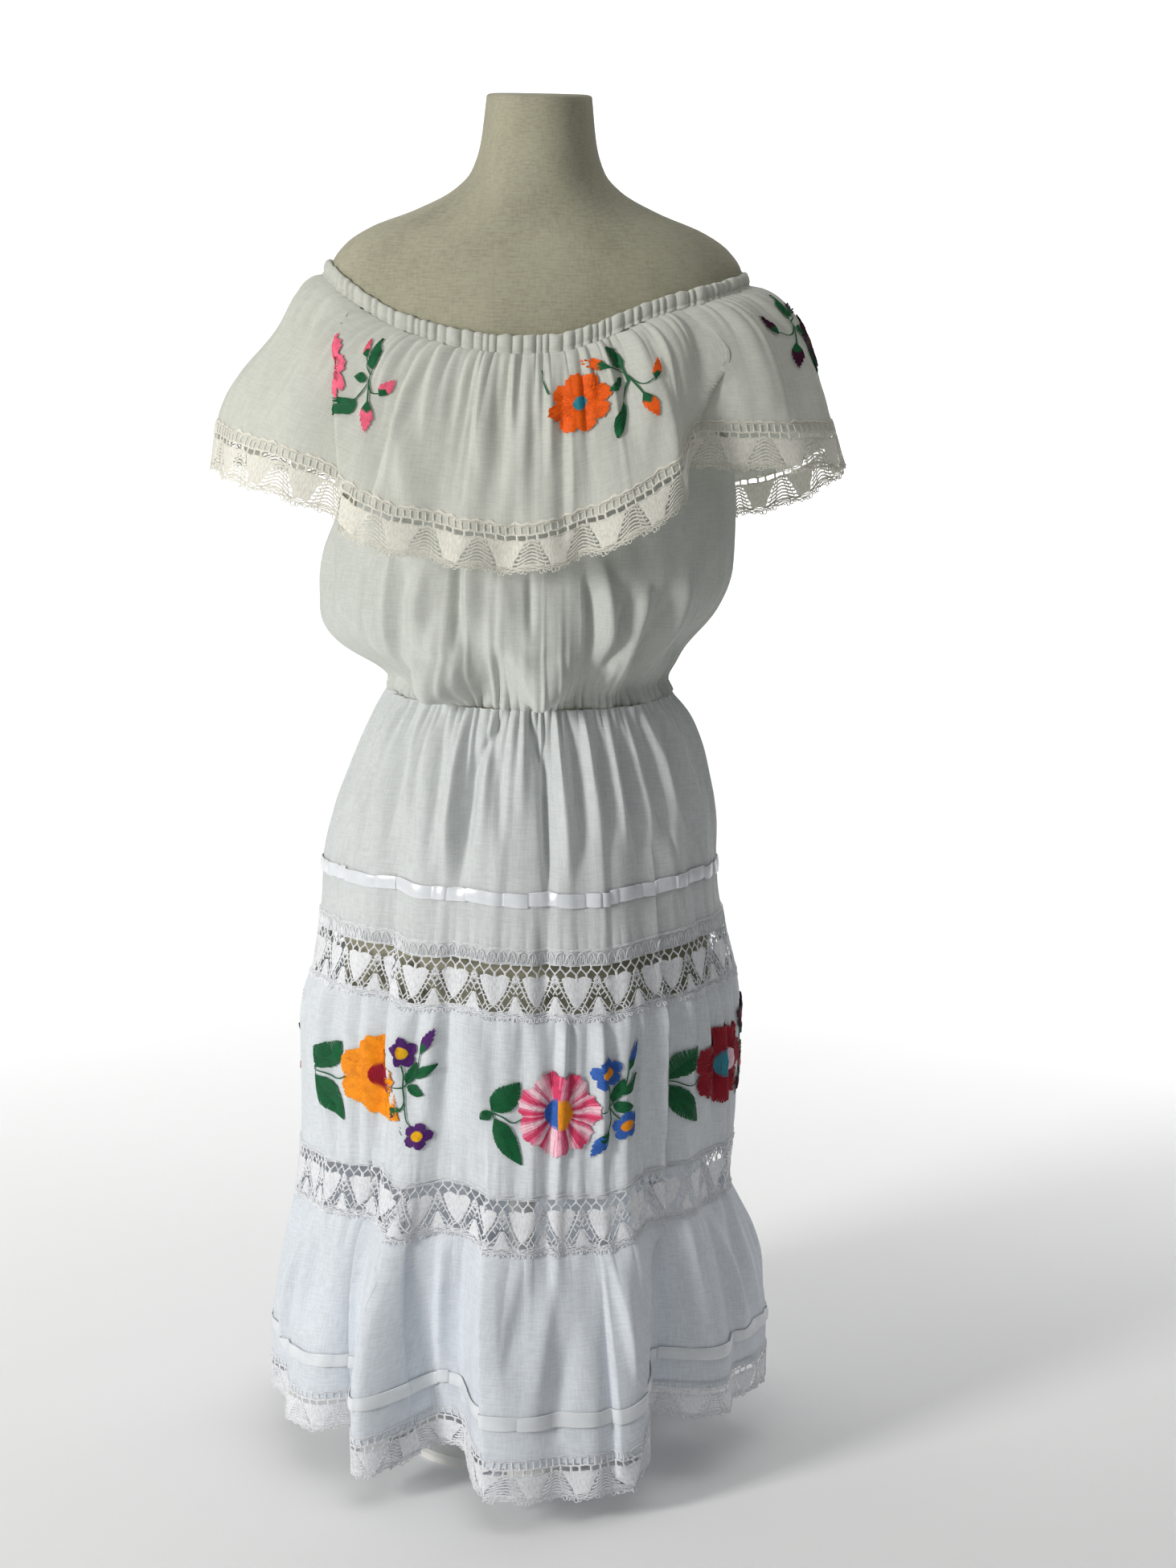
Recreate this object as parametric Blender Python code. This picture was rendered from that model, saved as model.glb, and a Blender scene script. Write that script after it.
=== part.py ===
"""Off-shoulder peasant dress resting on a limbless dress form.

Metres, +Z up. The origin is on the floor under the middle of the form's base. The back of the dress
faces -Y. An angle is measured round the form's axis: 0 is the middle of the back, and it grows towards
+X, so 90 degrees is the side at +X and 180 degrees is the middle of the front. Every cloth wall is a
surface, a function of the angle and a level, that a wall of even thickness is built inside.
"""

import bisect

import bmesh
import bpy
import numpy as np

MM = 0.001
CLOTH = 1.0 * MM
SEAM = 0.3 * MM
FORM_CLEARANCE = 0.5 * MM

NECK_GATHERS_PER_HALF = 24
WAIST_GATHERS_PER_HALF = 22
UPPER_LACE_REPEATS = 15
LOWER_LACE_REPEATS = 16
SCALLOPS_PER_HALF = 20

CASING_HEIGHT = 14 * MM
UNDER_CASING = FORM_CLEARANCE + 2 * CLOTH + 2 * SEAM
NECK_RIPPLE = 1.4 * MM
FLOUNCE_LACE_DEPTH = 42 * MM
RIBBON_THICKNESS = 0.8 * MM
SCALLOP_DROP = 3 * MM

WAIST_HEIGHT = 0.7245
UPPER_RIBBON_TOP = 0.565
UPPER_RIBBON_BOTTOM = 0.552
UPPER_LACE_TOP = 0.513
UPPER_LACE_BOTTOM = 0.454
LOWER_LACE_TOP = 0.293
LOWER_LACE_BOTTOM = 0.236
HEM_RIBBON_TOP = 0.104
HEM_RIBBON_BOTTOM = 0.091
HEM_LACE_TOP = 0.066
HEM = 0.026

FOLDS_BEGIN_BELOW = 0.640

LACE_SEAM_SHARE = 0.004
UPPER_COLUMNS = 24
BAND_COLUMNS = 24
HEM_COLUMNS = 42

TORSO_COLUMNS = 24
TORSO_NECK_ROUNDING = 2 * MM
TORSO_NECK_CAP = 0.93
TORSO_FOOT_ROUNDING = 8 * MM
TORSO_FOOT_CAP = 0.94
POLE_RADIUS = 12.5 * MM
POLE_SIDES = 20
SOCKET_RADIUS = 20 * MM
SOCKET_TOP = 30 * MM
BASE_RADIUS = 0.125
BASE_SIDES = 28

ANGLE_STEP = 1e-3
LINE_STEPS = 720
FULL_TURN = 2 * np.pi


def table(columns, rows):
    """A table with named columns, each an array with one value for each row."""
    return dict(zip(columns.split(), np.array(rows, float).T))


TORSO = table(
    "height half_width back front",
    (
        (1.262, 0.047, 0.050, 0.050),
        (1.220, 0.052, 0.054, 0.054),
        (1.195, 0.060, 0.060, 0.058),
        (1.178, 0.076, 0.066, 0.062),
        (1.160, 0.110, 0.072, 0.067),
        (1.145, 0.148, 0.077, 0.071),
        (1.130, 0.171, 0.081, 0.076),
        (1.112, 0.184, 0.085, 0.083),
        (1.085, 0.189, 0.089, 0.094),
        (1.040, 0.186, 0.092, 0.108),
        (0.980, 0.170, 0.095, 0.119),
        (0.900, 0.152, 0.092, 0.117),
        (0.820, 0.131, 0.088, 0.098),
        (0.760, 0.120, 0.087, 0.088),
        (0.722, 0.117, 0.087, 0.087),
        (0.680, 0.123, 0.092, 0.090),
        (0.600, 0.150, 0.108, 0.098),
        (0.520, 0.168, 0.118, 0.103),
        (0.440, 0.171, 0.117, 0.104),
        (0.372, 0.164, 0.108, 0.098),
    ),
)

NECK_LINE = table(
    "angle height",
    (
        (-150, 1.050), (-120, 1.080), (-90, 1.112), (-58, 1.072), (-37, 1.060), (-14, 1.056),
        (12, 1.058), (32, 1.068), (48, 1.082), (62, 1.094), (90, 1.108), (122, 1.080), (152, 1.050),
        (180, 1.040),
    ),
)

FLOUNCE_HEM = table(
    "angle height",
    (
        (-150, 0.868), (-120, 0.900), (-90, 0.924), (-68, 0.915), (-54, 0.890), (-38, 0.868),
        (-4, 0.855), (22, 0.873), (42, 0.908), (56, 0.942), (90, 0.938), (125, 0.898), (155, 0.868),
        (180, 0.860),
    ),
)

FLOUNCE_HEM_SECTION = {"left": 0.297, "right": 0.287, "back": 0.158, "front": 0.166, "exponent": 2.1}
FLOUNCE_FLARE = {"sides": 0.5, "middle": 0.75}
FLOUNCE_FOLDS_POWER = 1.3

FLOUNCE_FOLDS = table(
    "angle width depth",
    (
        (-148, 10, 0.016), (-118, 9, 0.026), (-84, 9, 0.010), (-56, 7, 0.020), (-31, 7, 0.007),
        (-9, 6, 0.009), (17, 7, 0.010), (58, 11, 0.064), (88, 5, 0.006), (116, 9, 0.028),
        (140, 9, 0.014), (172, 9, 0.012),
    ),
)

BODICE_SECTIONS = table(
    "height left right back front",
    (
        (0.960, 0.176, 0.178, 0.103, 0.128),
        (0.900, 0.177, 0.185, 0.110, 0.130),
        (0.845, 0.193, 0.183, 0.118, 0.130),
        (0.800, 0.197, 0.170, 0.124, 0.127),
        (0.768, 0.184, 0.156, 0.126, 0.125),
        (0.744, 0.162, 0.141, 0.121, 0.120),
        (0.732, 0.140, 0.132, 0.110, 0.110),
        (0.7245, 0.124, 0.125, 0.099, 0.099),
    ),
)

BODICE_FOLDS = table(
    "angle width depth",
    (
        (-150, 9, 0.008), (-112, 9, 0.010), (-72, 9, 0.010), (-52, 6, 0.008), (-23, 7, 0.013),
        (25, 8, 0.011), (50, 8, 0.012), (78, 8, 0.008), (118, 10, 0.010), (158, 9, 0.009),
    ),
)

BODICE_FOLDS_MIDDLE = 0.762
BODICE_FOLDS_REACH = 0.045
BODICE_TOP = 1.120
BODICE_EASE_POWER = 0.8

ARMHOLE = table(
    "height edge_angle",
    ((0.952, 90), (0.962, 80), (0.985, 71), (1.030, 65), (BODICE_TOP, 64)),
)

SKIRT_SECTIONS = table(
    "height left right back front",
    (
        (0.7245, 0.124, 0.125, 0.099, 0.099),
        (0.700, 0.141, 0.141, 0.109, 0.109),
        (0.652, 0.164, 0.158, 0.123, 0.122),
        (0.610, 0.180, 0.169, 0.133, 0.131),
        (0.565, 0.190, 0.177, 0.141, 0.139),
        (0.511, 0.192, 0.185, 0.147, 0.145),
        (0.456, 0.199, 0.193, 0.156, 0.154),
        (0.400, 0.209, 0.197, 0.160, 0.158),
        (0.297, 0.210, 0.196, 0.165, 0.164),
        (0.250, 0.214, 0.200, 0.171, 0.170),
        (0.216, 0.221, 0.209, 0.185, 0.184),
        (0.151, 0.233, 0.223, 0.209, 0.207),
        (0.093, 0.239, 0.231, 0.225, 0.223),
        (0.020, 0.240, 0.232, 0.238, 0.236),
    ),
)

SKIRT_FOLDS = table(
    "angle angle_at_hem width power waist upper_lace lower_lace hem",
    (
        (-162, -160, 8, 2, 0.006, 0.006, 0.010, 0.052),
        (-130, -129, 8, 2, 0.005, 0.005, 0.011, 0.056),
        (-98, -96, 7, 2, 0.006, 0.004, 0.007, 0.024),
        (-73, -74, 6, 2, 0.005, 0.004, 0.005, 0.014),
        (-48, -45, 6, 2, 0.005, 0.009, 0.014, 0.058),
        (-26, -20.5, 10, 4, 0.004, 0.003, 0.014, 0.070),
        (9, 10, 5, 2, 0.003, 0.002, 0.003, 0.006),
        (45, 43, 8, 2, 0.006, 0.008, 0.014, 0.062),
        (66, 66, 6, 2, 0.004, 0.004, 0.006, 0.012),
        (104, 102, 8, 2, 0.006, 0.005, 0.010, 0.054),
        (138, 137, 8, 2, 0.006, 0.006, 0.011, 0.056),
        (168, 168, 8, 2, 0.005, 0.005, 0.010, 0.048),
    ),
)

SKIRT_LIFT = table(
    "angle upper_lace lower_lace hem",
    (
        (-140, 0.002, 0.006, 0.014), (-90, 0.001, 0.000, 0.018), (-60, 0.006, 0.010, 0.018),
        (-47, 0.006, 0.012, 0.022), (-36, 0.002, 0.003, 0.002), (-22, 0.004, 0.010, 0.018),
        (-6, 0.001, 0.001, 0.002), (24, 0.000, 0.000, 0.000), (44, 0.005, 0.014, 0.036),
        (70, 0.009, 0.014, 0.038), (110, 0.006, 0.010, 0.026), (180, 0.003, 0.006, 0.014),
    ),
)


def smooth_interp(at, keys, values):
    """Cubic through the rows of a table that never overshoots a row's value."""
    order = np.argsort(keys)
    keys, values = keys[order], values[order]
    steps = np.diff(keys)
    slopes = np.diff(values) / steps
    before, after = slopes[:-1], slopes[1:]
    turning = before * after <= 0
    mean = 2 * before * after / np.where(turning, 1, before + after)
    tangents = np.concatenate([[slopes[0]], np.where(turning, 0, mean), [slopes[-1]]])
    at = np.clip(np.asarray(at, float), keys[0], keys[-1])
    cell = np.clip(np.searchsorted(keys, at) - 1, 0, len(steps) - 1)
    step = steps[cell]
    share = (at - keys[cell]) / step
    rest = 1 - share
    ends = values[cell] * rest**2 * (1 + 2 * share) + values[cell + 1] * share**2 * (1 + 2 * rest)
    bends = tangents[cell] * share * rest**2 - tangents[cell + 1] * share**2 * rest
    return ends + bends * step


def round_interp(angle, rows, column):
    """The same round the axis: the table's angles are in degrees and repeat every turn."""
    keys = np.concatenate([rows["angle"] - 360, rows["angle"], rows["angle"] + 360])
    degrees = (np.degrees(angle) + 180) % 360 - 180
    return smooth_interp(degrees, keys, np.tile(rows[column], 3))


def section_radius(angle, left, right, back, front, exponent=2.0):
    """Radius of a rounded section that has its own half width or depth on each side."""
    sine, cosine = np.sin(angle), np.cos(angle)
    across = np.abs(sine) / np.where(sine < 0, left, right)
    along = np.abs(cosine) / np.where(cosine > 0, back, front)
    return (across**exponent + along**exponent) ** (-1 / exponent)


def table_radius(angle, rows, height, exponent=2.0):
    sides = [smooth_interp(height, rows["height"], rows[side]) for side in ("left", "right", "back", "front")]
    return section_radius(angle, *sides, exponent)


def fold_shape(angle, centre, width, power=2):
    """1 in the middle of a fold and 0 away from it. The angles are in degrees. A higher power is steeper."""
    apart = (np.degrees(angle) - centre + 180) % 360 - 180
    return np.exp(-(np.abs(apart / width) ** power))


def around(angle, radius, height):
    """Points at an angle, a radius and a height, one row of x, y, z for each."""
    angle, radius, height = np.broadcast_arrays(angle, radius, height)
    return np.stack([radius * np.sin(angle), -radius * np.cos(angle), height], axis=-1)


def normals(surface, angle, level, level_step, chain=None):
    """Unit vectors out of a surface. Inside a chain of its points they follow the chain's own facets."""
    along = surface(angle + ANGLE_STEP, level) - surface(angle - ANGLE_STEP, level)
    if chain is not None:
        along[1:-1] = chain[2:] - chain[:-2]
    down = surface(angle, level + level_step) - surface(angle, level - level_step)
    across = np.cross(down, along)
    outward = np.sum(across * around(angle, 1, 0), axis=-1, keepdims=True)
    return across / np.linalg.norm(across, axis=-1, keepdims=True) * np.where(outward < 0, -1, 1)


def torso_surface(angle, height):
    sides = [smooth_interp(height, TORSO["height"], TORSO[side]) for side in ("half_width", "back", "front")]
    return around(angle, section_radius(angle, sides[0], *sides), height)


def neck_surface(angle, drop, off_form=0.0):
    """Points on the line of the neck elastic, a drop below its top edge and held off the form."""
    height = round_interp(angle, NECK_LINE, "height")
    steepness = 1 - 0.25 * np.sin(angle) ** 2
    height = height - drop * steepness
    off_form = np.broadcast_to(off_form, np.shape(angle))[..., None]
    return torso_surface(angle, height) + normals(torso_surface, angle, height, 0.002) * off_form


def flounce_surface(angle, share):
    """The flounce and its lace. Share is 0 under the casing, 1 at the lace's lower edge."""
    top = neck_surface(angle, CASING_HEIGHT + SEAM, UNDER_CASING)
    top_radius = np.hypot(top[..., 0], top[..., 1])
    hem_radius = section_radius(angle, **FLOUNCE_HEM_SECTION)
    hem_height = round_interp(angle, FLOUNCE_HEM, "height")
    share = np.clip(share, 0, None)
    sides, middle = FLOUNCE_FLARE.values()
    flare = share ** (sides + (middle - sides) * np.cos(angle) ** 2)
    radius = top_radius + (hem_radius - top_radius) * flare
    for centre, width, depth in zip(*FLOUNCE_FOLDS.values()):
        radius = radius - depth * fold_shape(angle, centre, width) * share**FLOUNCE_FOLDS_POWER
    return around(angle, radius, top[..., 2] + (hem_height - top[..., 2]) * share)


def bodice_surface(angle, height):
    """The bodice. Above the armholes it closes in on the form and its level is stretched to the neck line."""
    neck = neck_surface(angle, CASING_HEIGHT + SEAM, FORM_CLEARANCE + CLOTH)
    low = BODICE_SECTIONS["height"].max()
    above = np.clip((height - low) / (BODICE_TOP - low), 0, 1)
    true_height = np.where(height > low, low + (neck[..., 2] - low) * above, height)
    radius = table_radius(angle, BODICE_SECTIONS, np.minimum(height, low))
    neck_radius = np.hypot(neck[..., 0], neck[..., 1])
    form = torso_surface(angle, true_height)
    form_radius = np.hypot(form[..., 0], form[..., 1])
    ease = radius - np.hypot(*np.moveaxis(torso_surface(angle, low)[..., :2], -1, 0))
    loose = form_radius + ease * (1 - above) ** BODICE_EASE_POWER + (FORM_CLEARANCE + CLOTH) * above
    radius = np.where(height > low, np.where(above >= 1, neck_radius, loose), radius)
    fade = np.exp(-(((height - BODICE_FOLDS_MIDDLE) / BODICE_FOLDS_REACH) ** 2))
    for centre, width, depth in zip(*BODICE_FOLDS.values()):
        radius = radius - depth * fold_shape(angle, centre, width) * fade
    return around(angle, radius, true_height)


def skirt_surface(angle, height):
    """The skirt from its waist seam to the hem, with folds that deepen downwards."""
    radius = table_radius(angle, SKIRT_SECTIONS, height)
    levels = np.array([WAIST_HEIGHT, FOLDS_BEGIN_BELOW, UPPER_LACE_TOP, LOWER_LACE_TOP, HEM])
    down = np.clip((UPPER_LACE_TOP - height) / (UPPER_LACE_TOP - HEM), 0, 1)
    for number in range(len(SKIRT_FOLDS["angle"])):
        fold = {name: column[number] for name, column in SKIRT_FOLDS.items()}
        depths = np.array([0, fold["waist"], fold["upper_lace"], fold["lower_lace"], fold["hem"]])
        depth = smooth_interp(height, levels, depths)
        centre = fold["angle"] + (fold["angle_at_hem"] - fold["angle"]) * down
        radius = radius - depth * fold_shape(angle, centre, fold["width"], fold["power"])
    weights = [smooth_interp(height, levels[1:], row) for row in np.eye(len(levels) - 1)[1:]]
    lifts = [round_interp(angle, SKIRT_LIFT, name) for name in ("upper_lace", "lower_lace", "hem")]
    lift = sum(weight * lift for weight, lift in zip(weights, lifts))
    return around(angle, radius, height + lift)


def even_angles(surface, level, shares, start, end):
    """Angles that lie at the given shares of a level line's length between two angles."""
    fine = np.linspace(start, end, LINE_STEPS + 1)
    steps = np.linalg.norm(np.diff(surface(fine, level), axis=0), axis=1)
    along = np.concatenate([[0], np.cumsum(steps)])
    return np.interp(np.asarray(shares) * along[-1], along, fine)


def half_range(surface, level, half, edge=90.0):
    """Start and end angles of the back or front half, a seam's gap short of the side line."""
    radius = np.linalg.norm(surface(np.radians([edge]), level)[0, :2])
    reach = np.radians(edge) - SEAM / 2 / radius
    return (-reach, reach) if half == "back" else (np.pi - reach, np.pi + reach)


def row_of(surface, level, angles, keys=None, ripple=0.0, level_step=0.001, off=0.0, wall=CLOTH, flat=False):
    """One row of a wall: a key for each column, its outer points and its inner points.

    The ripple moves every second column out. A flat row is offset level, as at a seam where two edges meet.
    """
    outer = surface(angles, level)
    outward = normals(surface, angles, level, level_step, outer)
    if flat:
        outward[:, 2] = 0
        outward /= np.linalg.norm(outward, axis=1, keepdims=True)
    offsets = off + np.where(np.arange(len(angles)) % 2 == 1, ripple, 0)
    outer = outer + outward * offsets[:, None]
    return (angles if keys is None else np.asarray(keys)), outer, outer - outward * wall


def strip(upper, lower):
    """Triangles between two rows, each a list of (key, point number), advancing the row that is behind."""
    i = j = 0
    while i < len(upper) - 1 or j < len(lower) - 1:
        lower_is_next = i == len(upper) - 1 or (j < len(lower) - 1 and lower[j + 1][0] <= upper[i + 1][0])
        if lower_is_next:
            yield upper[i][1], lower[j][1], lower[j + 1][1]
            j += 1
        else:
            yield upper[i][1], lower[j][1], upper[i + 1][1]
            i += 1


def band(first, second):
    """Triangles between two chains of points with the same length."""
    for here, there in zip(range(len(first) - 1), range(1, len(first))):
        yield first[here], second[here], second[there]
        yield first[here], second[there], first[there]


def mesh_object(name, points, triangles, material):
    mesh = bpy.data.meshes.new(name)
    shape = bmesh.new()
    corners = [shape.verts.new(point) for point in points]
    for triangle in triangles:
        shape.faces.new([corners[number] for number in triangle])
    bmesh.ops.recalc_face_normals(shape, faces=shape.faces)
    if shape.calc_volume(signed=True) < 0:
        bmesh.ops.reverse_faces(shape, faces=shape.faces)
    shape.to_mesh(mesh)
    shape.free()
    mesh.materials.append(material)
    mesh.shade_smooth()
    mesh.set_sharp_from_angle(angle=np.radians(50))
    piece = bpy.data.objects.new(name, mesh)
    bpy.context.collection.objects.link(piece)
    return piece


def wall(name, rows, material, holes=(), ring=False):
    """A closed cloth wall through its rows. A hole is (row, start share, end share) of an open cell."""
    points, triangles = [], []
    outer_rows, inner_rows = [], []
    for shares, outer, inner in rows:
        kept = len(shares) - 1 if ring else len(shares)
        for side, chain in ((outer, outer_rows), (inner, inner_rows)):
            first = len(points)
            points.extend(side[:kept])
            numbers = [first + n % kept for n in range(len(shares))]
            chain.append(list(zip(shares, numbers)))
    for row in range(len(rows) - 1):
        openings = [hole for hole in holes if hole[0] == row]
        for chain in (outer_rows, inner_rows):
            if openings:
                triangles.extend(pierced_strip(chain[row], chain[row + 1], openings))
            else:
                triangles.extend(strip(chain[row], chain[row + 1]))
        for _, start, end in openings:
            triangles.extend(hole_sides(outer_rows, inner_rows, row, start, end))
    for row in (0, -1):
        outer_edge = [number for _, number in outer_rows[row]]
        inner_edge = [number for _, number in inner_rows[row]]
        triangles.extend(band(outer_edge, inner_edge))
    if not ring:
        for column in (0, -1):
            outer_edge = [chain[column][1] for chain in outer_rows]
            inner_edge = [chain[column][1] for chain in inner_rows]
            triangles.extend(band(outer_edge, inner_edge))
    return mesh_object(name, points, triangles, material)


def column_at(chain, share):
    return bisect.bisect_left([key + 1e-9 for key, _ in chain], share)


def pierced_strip(upper, lower, openings):
    """The strip between two rows with the same columns, without its open cells."""
    for column in range(len(upper) - 1):
        middle = (upper[column][0] + upper[column + 1][0]) / 2
        if not any(start < middle < end for _, start, end in openings):
            yield from strip(upper[column : column + 2], lower[column : column + 2])


def hole_sides(outer_rows, inner_rows, row, start, end):
    """The four small faces between the wall's two skins round one open cell."""
    left, right = column_at(outer_rows[row], start), column_at(outer_rows[row], end)
    corners = ((row, left), (row, right), (row + 1, right), (row + 1, left), (row, left))
    outer = [outer_rows[r][c][1] for r, c in corners]
    inner = [inner_rows[r][c][1] for r, c in corners]
    yield from band(outer, inner)


def shares_of(count):
    return np.linspace(0, 1, count + 1)


CASING_ROWS = table(
    "drop thickness ridge",
    ((0.0, 1.5, 1.0), (0.5, 3.1, 1.8), (1.0, 2.6, 1.6)),
)


def neck_angles(half, columns):
    """Angles spaced evenly along the neck line, exactly from one side line to the other."""
    start = -np.pi / 2 if half == "back" else np.pi / 2
    return even_angles(neck_surface, CASING_HEIGHT, shares_of(columns), start, start + np.pi)


def casing(material):
    """The gathered tube with the elastic: plain against the form, ridged by its gathers outside."""
    columns = 2 * NECK_GATHERS_PER_HALF
    angles = np.concatenate([neck_angles("back", columns), neck_angles("front", columns)[1:]])
    ridged = np.arange(len(angles)) % 2 == 1
    rows = []
    for drop, thickness, ridge in zip(*CASING_ROWS.values()):
        inner = neck_surface(angles, drop * CASING_HEIGHT, FORM_CLEARANCE)
        thick = FORM_CLEARANCE + (thickness + ridge * ridged) * MM
        rows.append((angles, neck_surface(angles, drop * CASING_HEIGHT, thick), inner))
    return wall("neck_casing", rows, material, ring=True)


FLOUNCE_ROWS = table(
    "share columns ripple",
    ((0.07, 48, 2.2), (0.22, 24, 0), (0.45, 24, 0), (0.75, 24, 0)),
)


def lace_share(angle):
    """The flounce's share at which its lace begins, so that the lace is equally deep all round."""
    neck = round_interp(angle, NECK_LINE, "height") - CASING_HEIGHT
    hem = round_interp(angle, FLOUNCE_HEM, "height")
    return 1 - FLOUNCE_LACE_DEPTH / (neck - hem)


def flounce_by_lace(angle, level):
    """The flounce with a level of 1 at the lace's top edge and 2 at its lower edge."""
    edge = lace_share(angle)
    share = np.where(level <= 1, level * edge, edge + (level - 1) * (1 - edge))
    return flounce_surface(angle, share)


def flounce(half, material, lace_material):
    """Half of the flounce, gathered under the casing, and the scalloped lace along its lower edge."""
    angles = neck_angles(half, 2 * NECK_GATHERS_PER_HALF)
    angles[[0, -1]] = half_range(flounce_by_lace, 0.01, half)
    thick = UNDER_CASING + np.where(np.arange(len(angles)) % 2 == 1, NECK_RIPPLE, 0)
    outer, inner = (neck_surface(angles, CASING_HEIGHT + SEAM, thick - wall) for wall in (0, CLOTH))
    rows = [(angles, outer, inner)]
    for share, columns, ripple in zip(*FLOUNCE_ROWS.values()):
        angles = neck_angles(half, int(columns))
        angles[[0, -1]] = half_range(flounce_by_lace, share, half)
        rows.append(row_of(flounce_by_lace, share, angles, ripple=ripple * MM, level_step=0.01))
    span = half_range(flounce_by_lace, 1, half)
    angles = even_angles(flounce_by_lace, 1, shares_of(2 * SCALLOPS_PER_HALF), *span)
    rows.append(row_of(flounce_by_lace, 1 - LACE_SEAM_SHARE, angles, level_step=0.01))
    wall(f"flounce_{half}", rows, material)
    lace_rows = [row_of(flounce_by_lace, level, angles, level_step=0.01) for level in (1 + LACE_SEAM_SHARE, 2)]
    scallop(lace_rows[-1])
    wall(f"flounce_lace_{half}", lace_rows, lace_material)


def scallop(row):
    """Lowers every second column of a row, outside and inside."""
    for points in row[1:]:
        points[1::2, 2] -= SCALLOP_DROP


BODICE_ROWS = table(
    "height columns ripple",
    (
        (BODICE_TOP, 22, 0), (1.040, 20, 0), (0.960, 20, 0), (0.880, 22, 0), (0.820, 22, 0), (0.775, 22, 0),
        (0.742, 22, 0), (0.732, 44, 2.0), (0.7248, 44, 2.6),
    ),
)


def bodice(half, material):
    rows = []
    for height, columns, ripple in zip(*BODICE_ROWS.values()):
        edge = smooth_interp(height, ARMHOLE["height"], ARMHOLE["edge_angle"])
        span = half_range(bodice_surface, height, half, float(edge))
        angles = even_angles(bodice_surface, height, shares_of(int(columns)), *span)
        rows.append(row_of(bodice_surface, height, angles, ripple=ripple * MM, flat=ripple > 0))
    wall(f"bodice_{half}", rows, material)


def skirt_angles(height, shares, half):
    return even_angles(skirt_surface, height, shares, *half_range(skirt_surface, height, half))


def ribbon(name, top, bottom, angles, material):
    """A ribbon on the skirt, made from the points of the panel under it, moved out."""
    off = SEAM + RIBBON_THICKNESS
    rows = []
    for height in (top, bottom):
        rows.append(row_of(skirt_surface, height, angles, off=off, wall=RIBBON_THICKNESS))
    wall(name, rows, material)


LACE_ROWS = table(
    "place arches net",
    ((0.0, 0, 0), (0.12, 1, 0), (0.28, 1, 0), (0.42, 0, 1), (0.55, 0, 1), (1.0, 0, 0)),
)
LACE_ARCHES = ((0.16, 0.42), (0.58, 0.84))
LACE_NET_HALF_WIDTH = 0.095


def lace_columns(repeats):
    """Shares of the columns in the edge, arch and net rows of an insertion."""
    edge, arch, net = [0.0, 1.0], [0.0, 1.0], [0.0, 1.0]
    for repeat in range(repeats):
        edge += [(repeat + place) / repeats for place in (0, 0.5)]
        arch += [(repeat + place) / repeats for sides in LACE_ARCHES for place in sides]
        if repeat:
            net += [(repeat + place) / repeats for place in (-LACE_NET_HALF_WIDTH, LACE_NET_HALF_WIDTH)]
    return {"edge": sorted(set(edge)), "arch": sorted(arch), "net": sorted(net)}


def lace_holes(repeats):
    """The two arches over each solid motif, and the largest gap of the net between two motifs."""
    holes = []
    for repeat in range(repeats):
        for start, end in LACE_ARCHES:
            holes.append((1, (repeat + start) / repeats, (repeat + end) / repeats))
        if repeat:
            start, end = repeat - LACE_NET_HALF_WIDTH, repeat + LACE_NET_HALF_WIDTH
            holes.append((3, start / repeats, end / repeats))
    return holes


def insertion(name, top, bottom, repeats, half, material):
    """A lace insertion with its largest gaps cut through."""
    columns = lace_columns(repeats)
    rows = []
    for place, arches, net in zip(*LACE_ROWS.values()):
        height = top + (bottom - top) * place
        shares = columns["arch" if arches else "net" if net else "edge"]
        rows.append(row_of(skirt_surface, height, skirt_angles(height, shares, half), keys=shares))
    wall(name, rows, material, holes=lace_holes(repeats))


def skirt_panel(name, rows, material):
    """A plain panel of the skirt through rows of (height, angles, ripple)."""
    made = []
    for height, angles, ripple in rows:
        made.append(row_of(skirt_surface, height, angles, ripple=ripple, flat=ripple > 0))
    wall(name, made, material)


WAIST_GATHER_ROWS = table("height ripple", ((WAIST_HEIGHT - SEAM / 2, 2.6), (0.700, 3.2)))
UPPER_ROWS = (0.655, 0.610, UPPER_RIBBON_TOP, UPPER_RIBBON_BOTTOM)
BAND_ROWS = (0.400, 0.345)
HEM_ROWS = (0.175, HEM_RIBBON_TOP, HEM_RIBBON_BOTTOM)


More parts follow.
